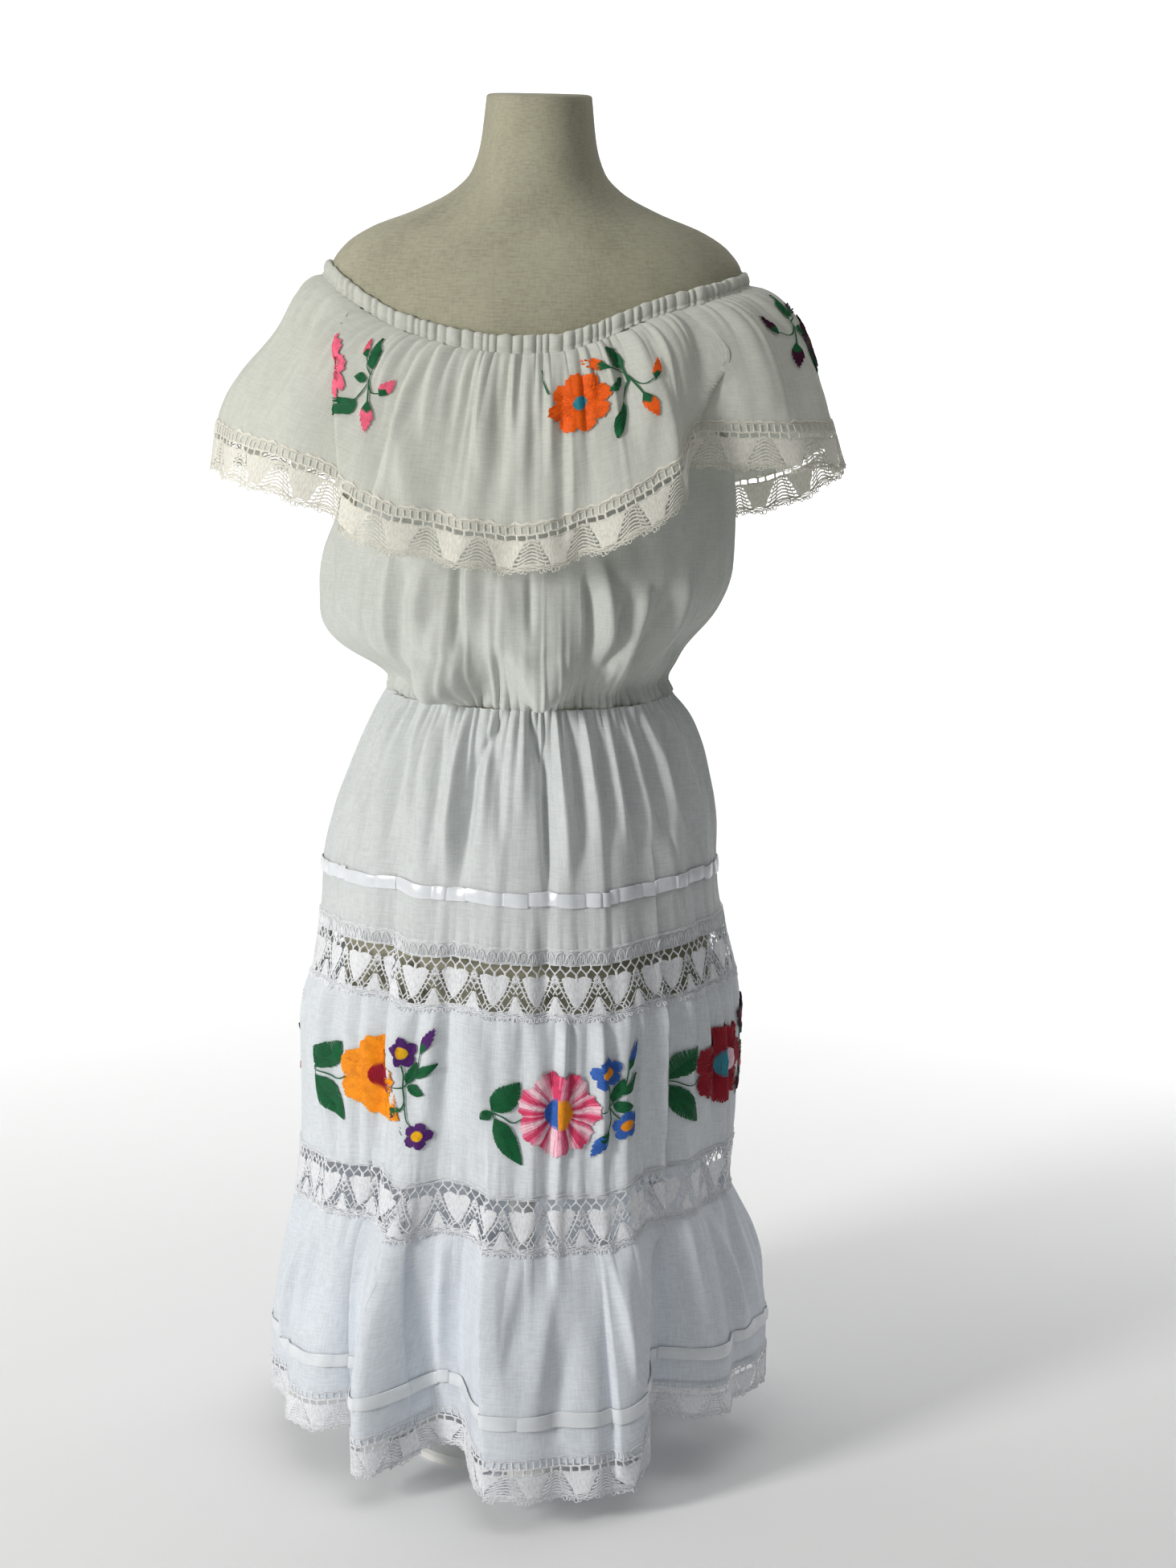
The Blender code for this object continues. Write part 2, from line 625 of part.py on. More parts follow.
def skirt(half, cloth, lace, satin):
    upper_edge = shares_of(2 * UPPER_LACE_REPEATS)
    lower_edge = shares_of(2 * LOWER_LACE_REPEATS)
    gathered = shares_of(2 * WAIST_GATHERS_PER_HALF)

    plain = skirt_angles(UPPER_RIBBON_TOP, shares_of(UPPER_COLUMNS), half)
    bottom_edge = UPPER_LACE_TOP + SEAM
    rows = []
    for height, ripple in zip(*WAIST_GATHER_ROWS.values()):
        rows.append((height, skirt_angles(height, gathered, half), ripple * MM))
    rows += [(height, plain, 0) for height in UPPER_ROWS]
    rows.append((bottom_edge, skirt_angles(bottom_edge, upper_edge, half), 0))
    skirt_panel(f"skirt_upper_{half}", rows, cloth)
    ribbon(f"upper_ribbon_{half}", UPPER_RIBBON_TOP, UPPER_RIBBON_BOTTOM, plain, satin)
    insertion(f"lace_upper_{half}", UPPER_LACE_TOP, UPPER_LACE_BOTTOM, UPPER_LACE_REPEATS, half, lace)

    top_edge, bottom_edge = UPPER_LACE_BOTTOM - SEAM, LOWER_LACE_TOP + SEAM
    plain = skirt_angles(np.mean(BAND_ROWS), shares_of(BAND_COLUMNS), half)
    rows = [(top_edge, skirt_angles(top_edge, upper_edge, half), 0)]
    rows += [(height, plain, 0) for height in BAND_ROWS]
    rows.append((bottom_edge, skirt_angles(bottom_edge, lower_edge, half), 0))
    skirt_panel(f"band_{half}", rows, cloth)
    insertion(f"lace_lower_{half}", LOWER_LACE_TOP, LOWER_LACE_BOTTOM, LOWER_LACE_REPEATS, half, lace)

    top_edge, bottom_edge = LOWER_LACE_BOTTOM - SEAM, HEM_LACE_TOP + SEAM
    wavy = skirt_angles(HEM_LACE_TOP, shares_of(HEM_COLUMNS), half)
    rows = [(top_edge, skirt_angles(top_edge, lower_edge, half), 0)]
    rows += [(height, wavy, 0) for height in (*HEM_ROWS, bottom_edge)]
    skirt_panel(f"hem_flounce_{half}", rows, cloth)
    ribbon(f"hem_ribbon_{half}", HEM_RIBBON_TOP, HEM_RIBBON_BOTTOM, wavy, satin)
    hem = [row_of(skirt_surface, height, wavy) for height in (HEM_LACE_TOP, HEM)]
    scallop(hem[-1])
    wall(f"hem_lace_{half}", hem, lace)


def stack(name, rings, material):
    """A closed solid through rings of points, with flat ends."""
    points, triangles = [], []
    count = len(rings[0])
    for ring in rings:
        points.extend(ring)
    for row in range(len(rings) - 1):
        upper = [row * count + n % count for n in range(count + 1)]
        lower = [(row + 1) * count + n % count for n in range(count + 1)]
        triangles.extend(band(upper, lower))
    for row in (0, len(rings) - 1):
        points.append(np.mean(rings[row], axis=0))
        hub = len(points) - 1
        triangles.extend((hub, row * count + n, row * count + (n + 1) % count) for n in range(count))
    return mesh_object(name, points, triangles, material)


BASE_PROFILE = table(
    "radius height",
    (
        (SOCKET_RADIUS, SOCKET_TOP), (SOCKET_RADIUS, 0.011), (BASE_RADIUS - 3 * MM, 0.008),
        (BASE_RADIUS, 0.005), (BASE_RADIUS, 0),
    ),
)


def dress_form(linen, paint):
    """The smooth padded torso, and the pole and round base that it stands on."""
    angles = np.arange(TORSO_COLUMNS) * FULL_TURN / TORSO_COLUMNS
    rings = [torso_surface(angles, height) for height in TORSO["height"]]
    neck_cap = rings[0] * (TORSO_NECK_CAP, TORSO_NECK_CAP, 1) + (0, 0, TORSO_NECK_ROUNDING)
    foot_cap = rings[-1] * (TORSO_FOOT_CAP, TORSO_FOOT_CAP, 1) - (0, 0, TORSO_FOOT_ROUNDING)
    stack("form_torso", [neck_cap, *rings, foot_cap], linen)
    angles = np.arange(POLE_SIDES) * FULL_TURN / POLE_SIDES
    pole_ends = (foot_cap[0, 2] - SEAM, SOCKET_TOP + SEAM)
    stack("form_pole", [around(angles, POLE_RADIUS, height) for height in pole_ends], paint)
    angles = np.arange(BASE_SIDES) * FULL_TURN / BASE_SIDES
    base_rings = [around(angles, radius, height) for radius, height in zip(*BASE_PROFILE.values())]
    stack("form_base", base_rings, paint)


def finish(name, colour, roughness, metallic=0.0):
    """A plain material: its colour as linear red, green and blue."""
    material = bpy.data.materials.new(name)
    material.use_nodes = True
    shader = material.node_tree.nodes["Principled BSDF"]
    shader.inputs["Base Color"].default_value = (*colour, 1)
    shader.inputs["Roughness"].default_value = roughness
    shader.inputs["Metallic"].default_value = metallic
    return material


def main():
    for old in list(bpy.data.objects):
        bpy.data.objects.remove(old, do_unlink=True)
    ivory = finish("ivory_batiste", (0.78, 0.77, 0.71), 0.9)
    cream = finish("cream_lace", (0.76, 0.72, 0.60), 0.95)
    white = finish("white_batiste", (0.80, 0.82, 0.84), 0.9)
    white_lace = finish("white_lace", (0.84, 0.85, 0.86), 0.95)
    satin = finish("white_satin", (0.86, 0.87, 0.88), 0.35)
    linen = finish("form_linen", (0.39, 0.36, 0.29), 0.95)
    paint = finish("pale_paint", (0.80, 0.79, 0.76), 0.5)
    dress_form(linen, paint)
    casing(ivory)
    for half in ("back", "front"):
        flounce(half, ivory, cream)
        bodice(half, ivory)
        skirt(half, white, white_lace, satin)


main()
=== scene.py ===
"""Looks of the off-shoulder peasant dress on its dress form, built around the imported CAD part.

Metres, +Z up, the CAD's own frame: the origin is on the floor under the form and the back of the dress
faces -Y. An angle is in degrees round the form's axis: 0 is the middle of the back and 90 is the side at
+X. The cloth is a set of thin sheets over the solids' own surfaces. A sheet's surface is a function of a
cloth angle, which runs along the cloth through its tucks, and a level down the cloth. Laces, ribbons and
embroidery are drawn flat in millimetres and laid on those surfaces.
"""

import bpy
import numpy as np
from mathutils import Matrix, Vector

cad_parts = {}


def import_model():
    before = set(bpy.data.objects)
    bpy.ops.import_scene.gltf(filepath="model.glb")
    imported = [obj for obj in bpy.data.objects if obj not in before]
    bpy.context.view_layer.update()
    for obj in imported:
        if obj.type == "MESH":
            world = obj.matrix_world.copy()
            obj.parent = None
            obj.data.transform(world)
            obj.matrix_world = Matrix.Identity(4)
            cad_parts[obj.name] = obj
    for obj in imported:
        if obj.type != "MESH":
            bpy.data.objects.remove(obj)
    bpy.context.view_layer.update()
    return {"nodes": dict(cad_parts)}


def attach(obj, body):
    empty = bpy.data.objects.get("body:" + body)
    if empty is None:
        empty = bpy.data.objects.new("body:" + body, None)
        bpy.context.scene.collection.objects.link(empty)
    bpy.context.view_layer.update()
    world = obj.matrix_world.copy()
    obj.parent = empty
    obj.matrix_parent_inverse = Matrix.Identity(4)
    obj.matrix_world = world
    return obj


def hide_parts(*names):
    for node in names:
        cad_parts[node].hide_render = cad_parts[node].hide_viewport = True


MM = 0.001
TURN = 360.0
ANY_PHASE = (0, 6.28)

CLOTH = 1.0 * MM
SEAM = 0.3 * MM
FORM_CLEARANCE = 0.5 * MM
CASING_HEIGHT = 14 * MM
UNDER_CASING = FORM_CLEARANCE + 2 * CLOTH + 2 * SEAM
FLOUNCE_DEPTH = 0.21
FLOUNCE_LACE_DEPTH = 42 * MM

WAIST = 0.7245
FOLDS_BEGIN_BELOW = 0.640
UPPER_RIBBON = (0.565, 0.552)
UPPER_LACE = (0.513, 0.454)
LOWER_LACE = (0.293, 0.236)
HEM_RIBBON = (0.104, 0.091)
HEM_LACE_TOP = 0.066
HEM = 0.026


def table(columns, *rows):
    """A table with named columns, each an array. A column named in _mm is kept in metres."""
    kept = {}
    for name, values in zip(columns.split(), np.array(rows, float).T):
        kept[name.removesuffix("_mm")] = values * MM if name.endswith("_mm") else values
    return kept


# Sizes of the solids

TORSO = table(
    "height_mm left_mm back_mm front_mm",
    (1262, 47, 50, 50), (1220, 52, 54, 54), (1195, 60, 60, 58), (1178, 76, 66, 62), (1160, 110, 72, 67),
    (1145, 148, 77, 71), (1130, 171, 81, 76), (1112, 184, 85, 83), (1085, 189, 89, 94),
    (1040, 186, 92, 108), (980, 170, 95, 119), (900, 152, 92, 117), (820, 131, 88, 98),
    (760, 120, 87, 88), (722, 117, 87, 87), (680, 123, 92, 90), (600, 150, 108, 98),
    (520, 168, 118, 103), (440, 171, 117, 104), (372, 164, 108, 98),
)
TORSO["right"] = TORSO["left"]

NECK_LINE = table(
    "angle height_mm",
    (-150, 1050), (-120, 1080), (-90, 1112), (-58, 1072), (-37, 1060), (-14, 1056), (12, 1058),
    (32, 1068), (48, 1082), (62, 1094), (90, 1108), (122, 1080), (152, 1050), (180, 1040),
)

FLOUNCE_HEM = table(
    "angle height_mm",
    (-150, 868), (-120, 900), (-90, 924), (-68, 915), (-54, 890), (-38, 868), (-4, 855), (22, 873),
    (42, 908), (56, 942), (90, 936), (100, 915), (112, 882), (125, 870), (155, 864), (180, 860),
)
FLOUNCE_HEM_SECTION = {"left": 0.297, "right": 0.287, "back": 0.158, "front": 0.166, "exponent": 2.1}
FLARE_AT_SIDES = 0.5
FLARE_IN_MIDDLE = 0.75
FLOUNCE_FOLDS = table(
    "angle width depth_mm",
    (-148, 10, 16), (-118, 9, 26), (-84, 9, 10), (-56, 7, 20), (-31, 7, 7), (-9, 6, 9), (17, 7, 10),
    (58, 11, 64), (88, 5, 6), (116, 9, 28), (140, 9, 14), (172, 9, 12),
)
FLOUNCE_FOLDS_POWER = 1.3

BODICE_TOP = 1.120
BODICE_SECTIONS = table(
    "height_mm left_mm right_mm back_mm front_mm",
    (960, 176, 178, 103, 128), (900, 177, 185, 110, 130), (845, 193, 183, 118, 130),
    (800, 197, 170, 124, 127), (768, 184, 156, 126, 125), (744, 162, 141, 121, 120),
    (732, 140, 132, 110, 110), (724.5, 124, 125, 99, 99),
)
BODICE_EASE_POWER = 0.8
BODICE_FOLDS = table(
    "angle width depth_mm",
    (-150, 9, 8), (-112, 9, 10), (-72, 9, 10), (-52, 6, 8), (-23, 7, 13), (25, 8, 11), (50, 8, 12),
    (78, 8, 8), (118, 10, 10), (158, 9, 9),
)
BODICE_FOLDS_MIDDLE = 0.762
BODICE_FOLDS_REACH = 0.045
ARMHOLE = table("height_mm edge_angle", (952, 90), (962, 80), (985, 71), (1030, 65), (1120, 64))

SKIRT_SECTIONS = table(
    "height_mm left_mm right_mm back_mm front_mm",
    (724.5, 124, 125, 99, 99), (700, 141, 141, 109, 109), (652, 164, 158, 123, 122),
    (610, 180, 169, 133, 131), (565, 190, 177, 141, 139), (511, 192, 185, 147, 145),
    (456, 199, 193, 156, 154), (400, 209, 197, 160, 158), (297, 210, 196, 165, 164),
    (250, 214, 200, 171, 170), (216, 221, 209, 185, 184), (151, 233, 223, 209, 207),
    (93, 239, 231, 225, 223), (20, 240, 232, 238, 236),
)
SKIRT_FOLDS = table(
    "angle angle_at_hem width power waist_mm upper_lace_mm lower_lace_mm hem_mm",
    (-162, -160, 8, 2, 6, 6, 10, 52), (-130, -129, 8, 2, 5, 5, 11, 56), (-98, -96, 7, 2, 6, 4, 7, 24),
    (-73, -74, 6, 2, 5, 4, 5, 14), (-48, -45, 6, 2, 5, 9, 14, 58), (-26, -20.5, 10, 4, 4, 3, 14, 70),
    (9, 10, 5, 2, 3, 2, 3, 6), (45, 43, 8, 2, 6, 8, 14, 62), (66, 66, 6, 2, 4, 4, 6, 12),
    (104, 102, 8, 2, 6, 5, 10, 54), (138, 137, 8, 2, 6, 6, 11, 56), (168, 168, 8, 2, 5, 5, 10, 48),
)
SKIRT_LIFT = table(
    "angle upper_lace_mm lower_lace_mm hem_mm",
    (-140, 2, 6, 14), (-90, 1, 0, 18), (-60, 6, 10, 18), (-47, 6, 12, 22), (-36, 2, 3, 2),
    (-22, 4, 10, 18), (-6, 1, 1, 2), (24, 0, 0, 0), (44, 5, 14, 36), (70, 9, 14, 38), (110, 6, 10, 26),
    (180, 3, 6, 14),
)

# Places where the cloth is pushed out or, where out is negative, drawn in

# A pouch hangs over the waist: how far down and out its lowest part is moved, at an angle.
BODICE_POUCHES = table(
    "angle left right down_mm out_mm",
    (-92, 18, 16, 2, -4), (-64, 10, 6, 0, -6), (-39, 7, 9, 22, 12), (-13, 7, 6, -8, -14),
    (4, 5, 11, 24, 12), (31, 7, 8, -4, -8), (58, 9, 10, -2, -8), (92, 14, 16, 2, -7),
    (128, 13, 13, 10, -2), (165, 14, 14, 2, -3), (-155, 13, 13, 12, 1), (-124, 11, 12, 2, -3),
)
POUCH_MIDDLE = 0.757
POUCH_REACH = 0.021
# The nip over the waist spares the two deepest pouches.
WAIST_NIP = {"height": 0.739, "reach": 0.013, "depth": 0.010}
SPARED_BY_NIP = table("angle width share", (-39, 8, 1), (5, 9, 1))
# The last two rows are the level folds where a pouch turns over.
BODICE_PULLS = table(
    "angle level_mm width reach_mm out_mm",
    (80, 768, 26, 28, -15), (-88, 800, 24, 26, -4), (-78, 748, 26, 19, -20), (-41, 778, 8, 5.5, -6),
    (7, 781, 8, 5.5, -5),
)
SKIRT_PULLS = table("angle level_mm width reach_mm out_mm", (96, 235, 34, 50, -11), (96, 520, 30, 50, -6))
FLOUNCE_PULLS = table("angle level width reach out_mm", (-92, 0.68, 18, 0.26, 10), (-90, 0.26, 26, 0.20, -13))

# Tucks, gathers and creases of the cloth

# A tuck's edge is the visible fold. Its upper layer lies on the side of larger angles where side is 1.
# The first line is the levels. A row is side, rise in mm, then edge and overlap in degrees at each level.
TUCK_WIDTH = 3.0
TUCK_FADE = 5.0
SKIRT_TUCKS = (
    (0.56, 0.50, 0.375, 0.25, 0.17, 0.03),
    (1, 4.0, (-48, -47.5, -42.5, -38.5, -38, -38), (0.6, 2.4, 3.4, 4.4, 1.0, 0)),
    (-1, 7.5, (50, 49, 48, 48, 38, 27.5), (0.6, 2.4, 3.4, 4.0, 3.6, 4.8)),
    (1, 10.0, (-50, -50, -50, -50, -49, -48), (0, 0, 0, 1.8, 3.6, 4.4)),
    (-1, 8.0, (-31, -31, -31, -31.6, -29.8, -26.5), (0, 0, 0, 1.2, 3.0, 4.4)),
    (1, 13.0, (-11, -11, -11, -10.5, -9.6, -6.4), (0, 0, 0, 2.0, 4.0, 5.2)),
    (-1, 4.5, (-167, -167, -166, -165, -164, -163), (0, 1.6, 2.8, 3.6, 4.0, 4.2)),
    (1, 4.5, (-134, -134, -135, -136, -136, -137), (0, 2.0, 3.0, 4.0, 4.2, 4.4)),
    (-1, 4.0, (-101, -101, -101, -101, -101, -101), (0, 1.6, 2.6, 3.0, 3.2, 3.2)),
    (-1, 4.5, (99, 99, 98, 98, 97, 97), (0, 1.6, 2.6, 3.4, 4.0, 4.2)),
    (1, 4.5, (141, 141, 141, 142, 142, 142), (0, 2.0, 3.0, 3.8, 4.2, 4.2)),
)
FLOUNCE_TUCKS = (
    (0.0, 0.1, 0.27, 0.64, 1.0),
    (1, 8.0, (-70, -67, -62.8, -57.2, -53), (0.5, 2.8, 3.8, 4.0, 4.0)),
    (-1, 6.0, (60, 63, 65, 58, 54), (0, 0.6, 1.8, 3.0, 3.6)),
    (1, 4.0, (-120, -120, -121, -123, -124), (0, 0.6, 1.6, 2.8, 3.4)),
    (-1, 4.0, (118, 118, 119, 122, 124), (0, 0.6, 1.6, 2.8, 3.4)),
    (1, 3.0, (169, 169, 168, 167, 166), (0, 0.4, 1.0, 2.0, 2.6)),
)

# Gathers: how many, seed, height and reach from the seam. Folds also have the reach of their swelling.
NECK_GATHERS = (104, 11, 4.2 * MM, 38 * MM)
WAIST_GATHERS = (96, 23, 6.2 * MM, 24 * MM)
BODICE_GATHERS = (96, 23, 6.2 * MM, 20 * MM)
HEM_GATHERS = (84, 37, 2.0 * MM, 32 * MM)
LACE_PUCKERS = (96, 41, 1.1 * MM, 16 * MM)
NECK_FOLDS = (36, 15, 6.4 * MM, 95 * MM, 22 * MM)
WAIST_FOLDS = (36, 27, 5.0 * MM, 120 * MM, 9 * MM)
BODICE_FOLDS_UP = (32, 29, 4.6 * MM, 60 * MM, 8 * MM)
BAND_FOLDS = (42, 45, 8.5 * MM, 230 * MM, 7 * MM)
HEM_FOLDS = (36, 33, 4.0 * MM, 130 * MM, 22 * MM)

# A crease runs from one end to the other. Its sides are as wide, in degrees, as left and right say,
# and its height is positive on a ridge and negative in a trough.
CREASE_SCALE = 2.0 * MM
CREASE_WIDTH = 1.35
SHARE_COLUMNS = "angle level end_angle end_level left right height"
HEIGHT_COLUMNS = "angle level_mm end_angle end_level_mm left right height"
FLOUNCE_CREASES = table(
    SHARE_COLUMNS,
    (-98, -0.2, -104, 0.8, 2, 3, 3), (-88, -0.2, -95, 0.9, 2, 2.5, -3.4),
    (-76, -0.1, -74, 0.9, 1.6, 2.2, -3.6), (-72, -0.1, -66, 0.8, 2, 3.5, 3.5),
    (-80, -0.1, -84, 0.7, 3, 2, 3), (-57, -0.2, -46, 0.45, 1.6, 2.6, 2.6),
    (-50, -0.1, -44, 0.95, 2.2, 1.4, -2.4), (-45, 0.3, -35, 0.85, 2, 3, 2.6),
    (-42, -0.2, -36, 0.55, 1.4, 1.8, 2.2), (-34, -0.1, -31, 0.4, 1.3, 1.6, -1.8),
    (-26, -0.2, -18, 0.6, 1.5, 2.6, 2.4), (-17, -0.1, -14, 0.45, 1.2, 1.5, -1.6),
    (-10, -0.2, -8, 0.42, 1.4, 1.4, 2), (-4, 0.25, -12, 0.95, 3, 3.5, 2.2),
    (1, -0.2, 2, 0.38, 1.4, 1.6, 1.8), (8, -0.1, 7, 0.6, 1.6, 1.4, 1.8),
    (12.5, 0.05, 11, 1.05, 2.4, 1.6, -2.4), (16, -0.2, 15, 0.9, 1.2, 3, 2.6),
    (23, -0.2, 24, 0.34, 1.3, 1.5, 1.8), (30, -0.2, 31, 0.45, 1.6, 1.4, 2.2),
    (37, -0.1, 34, 0.55, 1.5, 1.8, -2), (43, -0.2, 38, 0.7, 2, 2.4, 3.2),
    (49, -0.2, 43, 1, 2.6, 2.2, 3.6), (62, -0.2, 56, 0.55, 2, 3, -2.6), (70, -0.1, 68, 0.8, 3, 2.6, 3.4),
    (79, -0.1, 80, 0.9, 2.2, 3.2, 3), (86, 0.2, 92, 1, 2.6, 2, -2.4),
)
BODICE_CREASES = table(
    HEIGHT_COLUMNS,
    (-86, 880, -78, 800, 2, 4, -4), (-74, 850, -66, 745, 3, 3, 3), (-54.5, 900, -55.5, 742, 1, 0.8, 1.6),
    (-50, 870, -53, 760, 1.6, 3, -3.2), (-42, 865, -44, 785, 3, 2, 3),
    (-37, 830, -45, 760, 3, 2.4, -2.4), (-31.5, 885, -29.5, 768, 1, 2.2, -4.2),
    (-26, 870, -24, 790, 1.6, 4, 3.6), (-12, 860, -9, 800, 3, 3, 1.6), (0, 860, 1, 790, 1.6, 1.2, -2.2),
    (24, 860, 27, 762, 1.4, 3, -4.6), (30, 870, 34, 768, 2.2, 2.4, 3.6),
    (42, 850, 33, 742, 1.4, 2.2, -3.4), (48, 850, 41, 745, 2, 2, 3), (56, 850, 49, 738, 1.3, 2.2, -3.4),
    (63, 860, 58, 742, 2.2, 2.2, 2.8), (74, 870, 68, 745, 2, 3, -3), (100, 880, 94, 745, 2.4, 3, -3),
)
SKIRT_CREASES = table(
    HEIGHT_COLUMNS,
    (-80, 735, -74, 560, 2, 3, -3.2), (-73, 735, -66, 570, 2.2, 3, 3.2),
    (-63, 730, -60, 600, 1.6, 2.4, 2.2), (-56, 735, -52, 560, 1.6, 2.2, -3.2),
    (-52, 735, -47, 600, 1.6, 2.2, 3.2), (-45, 730, -43, 620, 1.6, 2, 2.2),
    (-40, 735, -36, 570, 1.4, 2, -3.4), (-31, 738, -30.3, 565, 2.4, 1.8, 4.8),
    (-8, 738, -26, 655, 1.6, 2, -3.6), (-23.8, 705, -24.8, 545, 1.8, 2.4, -5.4),
    (-18, 725, -17.5, 600, 2.4, 2.4, 2.6), (-12.5, 705, -9, 585, 1.6, 2.2, -2.4),
    (-3, 735, -1.5, 620, 3.2, 3, 3), (-2, 738, 9, 655, 1.4, 1.6, -3.4),
    (7.2, 705, 9.6, 540, 1.6, 1.4, -5.8), (13, 738, 16.5, 555, 1.4, 2.6, 4.4),
    (20, 735, 22, 580, 1.2, 1.8, -3), (25, 735, 28.5, 600, 1.4, 1.8, 3),
    (29.5, 735, 33, 590, 1.2, 1.6, -3), (35.5, 735, 40, 590, 1.4, 1.8, 3.2),
    (40, 735, 46, 570, 1.2, 1.8, -3.4), (45.5, 735, 51.5, 590, 1.4, 1.8, 3.2),
    (50, 735, 57, 580, 1.2, 1.8, -3.4), (56, 735, 64, 580, 1.6, 2, 3.4),
    (62, 735, 72, 560, 1.4, 2, -3.4), (68, 735, 77, 560, 1.6, 2.2, 3.4), (84, 735, 90, 560, 2, 2.6, 3),
    (-66, 460, -64, 300, 3, 3, 2.4), (-40, 520, -38, 400, 2, 3, -1.8),
    (-27, 560, -25, 310, 2, 3.2, -2.6), (-14, 460, -13, 330, 2.6, 2.6, 1.8),
    (8, 560, 7, 400, 2, 2, -2.4), (24, 470, 25, 300, 2.4, 2.4, 2), (36, 440, 38, 300, 2, 3, -2.2),
    (62, 460, 64, 300, 2.6, 2.6, 2), (-67, 245, -69, 60, 2.4, 1.2, 7), (-61, 245, -60, 100, 2, 3, -4),
    (-37, 245, -36, 20, 3, 3, 3.6), (-24, 245, -23, 80, 1, 1.4, 2.6), (-7, 245, -5, 90, 1.8, 2.4, 3),
    (3, 240, -3, 120, 1.6, 2.4, -2.4), (11, 250, 3, 80, 2.2, 1.8, 2.8), (15, 200, 8, 60, 2, 2, -2),
    (23.5, 260, 22.5, -20, 2.6, 0.4, -4.4), (26.5, 255, 30, 100, 1, 2.4, 3.4),
    (33, 240, 29, 60, 2, 2, -2), (66, 245, 69, 60, 1.2, 2.6, 6), (72, 240, 74, 80, 2, 2.4, -4),
)


# Helpers for numbers

def part_of(value):
    """The value, held between 0 and 1."""
    return np.clip(value, 0, 1)


def smooth_step(value):
    value = part_of(value)
    return value * value * (3 - 2 * value)


def bell(value):
    return np.exp(-(value**2))


def lengths_along(points):
    """The length of a path up to each of its points."""
    return running(np.linalg.norm(np.diff(points, axis=0), axis=1))


def running(steps):
    return np.concatenate([[0], np.cumsum(steps)])


def wrapped(degrees):
    return (degrees + 180) % TURN - 180


def ring_angles(count):
    return -180 + np.arange(count) * TURN / count


def smooth_interp(at, keys, values):
    """Cubic through the rows of a table that never overshoots a row's value."""
    order = np.argsort(keys)
    keys, values = np.asarray(keys, float)[order], np.asarray(values, float)[order]
    steps = np.diff(keys)
    slopes = np.diff(values) / steps
    before, after = slopes[:-1], slopes[1:]
    turning = before * after <= 0
    mean = 2 * before * after / np.where(turning, 1, before + after)
    tangents = np.concatenate([slopes[:1], np.where(turning, 0, mean), slopes[-1:]])
    at = np.clip(np.asarray(at, float), keys[0], keys[-1])
    cell = np.clip(np.searchsorted(keys, at) - 1, 0, len(steps) - 1)
    share = (at - keys[cell]) / steps[cell]
    rest = 1 - share
    ends = values[cell] * rest**2 * (1 + 2 * share) + values[cell + 1] * share**2 * (1 + 2 * rest)
    bends = tangents[cell] * share * rest**2 - tangents[cell + 1] * share**2 * rest
    return ends + bends * steps[cell]


def round_interp(angle, rows, column):
    """The same round the axis, where a table's angles repeat every turn."""
    keys = np.concatenate([rows["angle"] - TURN, rows["angle"], rows["angle"] + TURN])
    return smooth_interp(wrapped(angle), keys, np.tile(rows[column], 3))


def section_radius(angle, left, right, back, front, exponent=2.0):
    """Radius of a rounded section that has its own half width or depth on each side."""
    sine, cosine = np.sin(np.radians(angle)), np.cos(np.radians(angle))
    across = np.abs(sine) / np.where(sine < 0, left, right)
    along = np.abs(cosine) / np.where(cosine > 0, back, front)
    return (across**exponent + along**exponent) ** (-1 / exponent)


def table_radius(angle, rows, height):
    sides = [smooth_interp(height, rows["height"], rows[side]) for side in ("left", "right", "back", "front")]
    return section_radius(angle, *sides)


def fold_shape(angle, centre, width, power=2):
    """1 in the middle of a fold and 0 away from it. A higher power is steeper."""
    return np.exp(-(np.abs(wrapped(angle - centre) / width) ** power))


def folds_of(angle, rows):
    """The sum of a table's folds at each angle."""
    return sum(depth * fold_shape(angle, centre, width) for centre, width, depth in zip(*rows.values()))


def around(angle, radius, height):
    angle, radius, height = np.broadcast_arrays(np.radians(angle), radius, height)
    return np.stack([radius * np.sin(angle), -radius * np.cos(angle), height], axis=-1)


def radius_of(points):
    return np.hypot(points[..., 0], points[..., 1])


def lifted(points, offset):
    """Points moved away from the axis, level."""
    moved = points.copy()
    moved[..., :2] *= 1 + np.asarray(offset)[..., None] / radius_of(points)[..., None]
    return moved


def out_of(surface, angle, level, angle_step, level_step):
    """Unit vectors out of a surface, from its own slopes."""
    along = surface(angle + angle_step, level) - surface(angle - angle_step, level)
    up = surface(angle, level + level_step) - surface(angle, level - level_step)
    across = np.cross(along, up)
    return across / np.maximum(np.linalg.norm(across, axis=-1, keepdims=True), 1e-12)


def level_line(surface, level, samples=1441):
    """Angles round a level line, and the line's length up to each."""
    angles = np.linspace(-180, 180, samples)
    return angles, lengths_along(surface(angles, level))


def turn_of(surface, level):
    """A function from an angle to the share of a level line's length."""
    angles, lengths = level_line(surface, level)
    return lambda angle: np.interp(wrapped(angle), angles, lengths / lengths[-1])


# Folds of gathered and worn cloth

def cells(turn, widths):
    """The cell of each place on a turn cut into uneven widths, and the place across it."""
    edges = running(widths) / widths.sum()
    cell = np.clip(np.searchsorted(edges, turn, side="right") - 1, 0, len(widths) - 1)
    return cell, (turn - edges[cell]) / (edges[cell + 1] - edges[cell])


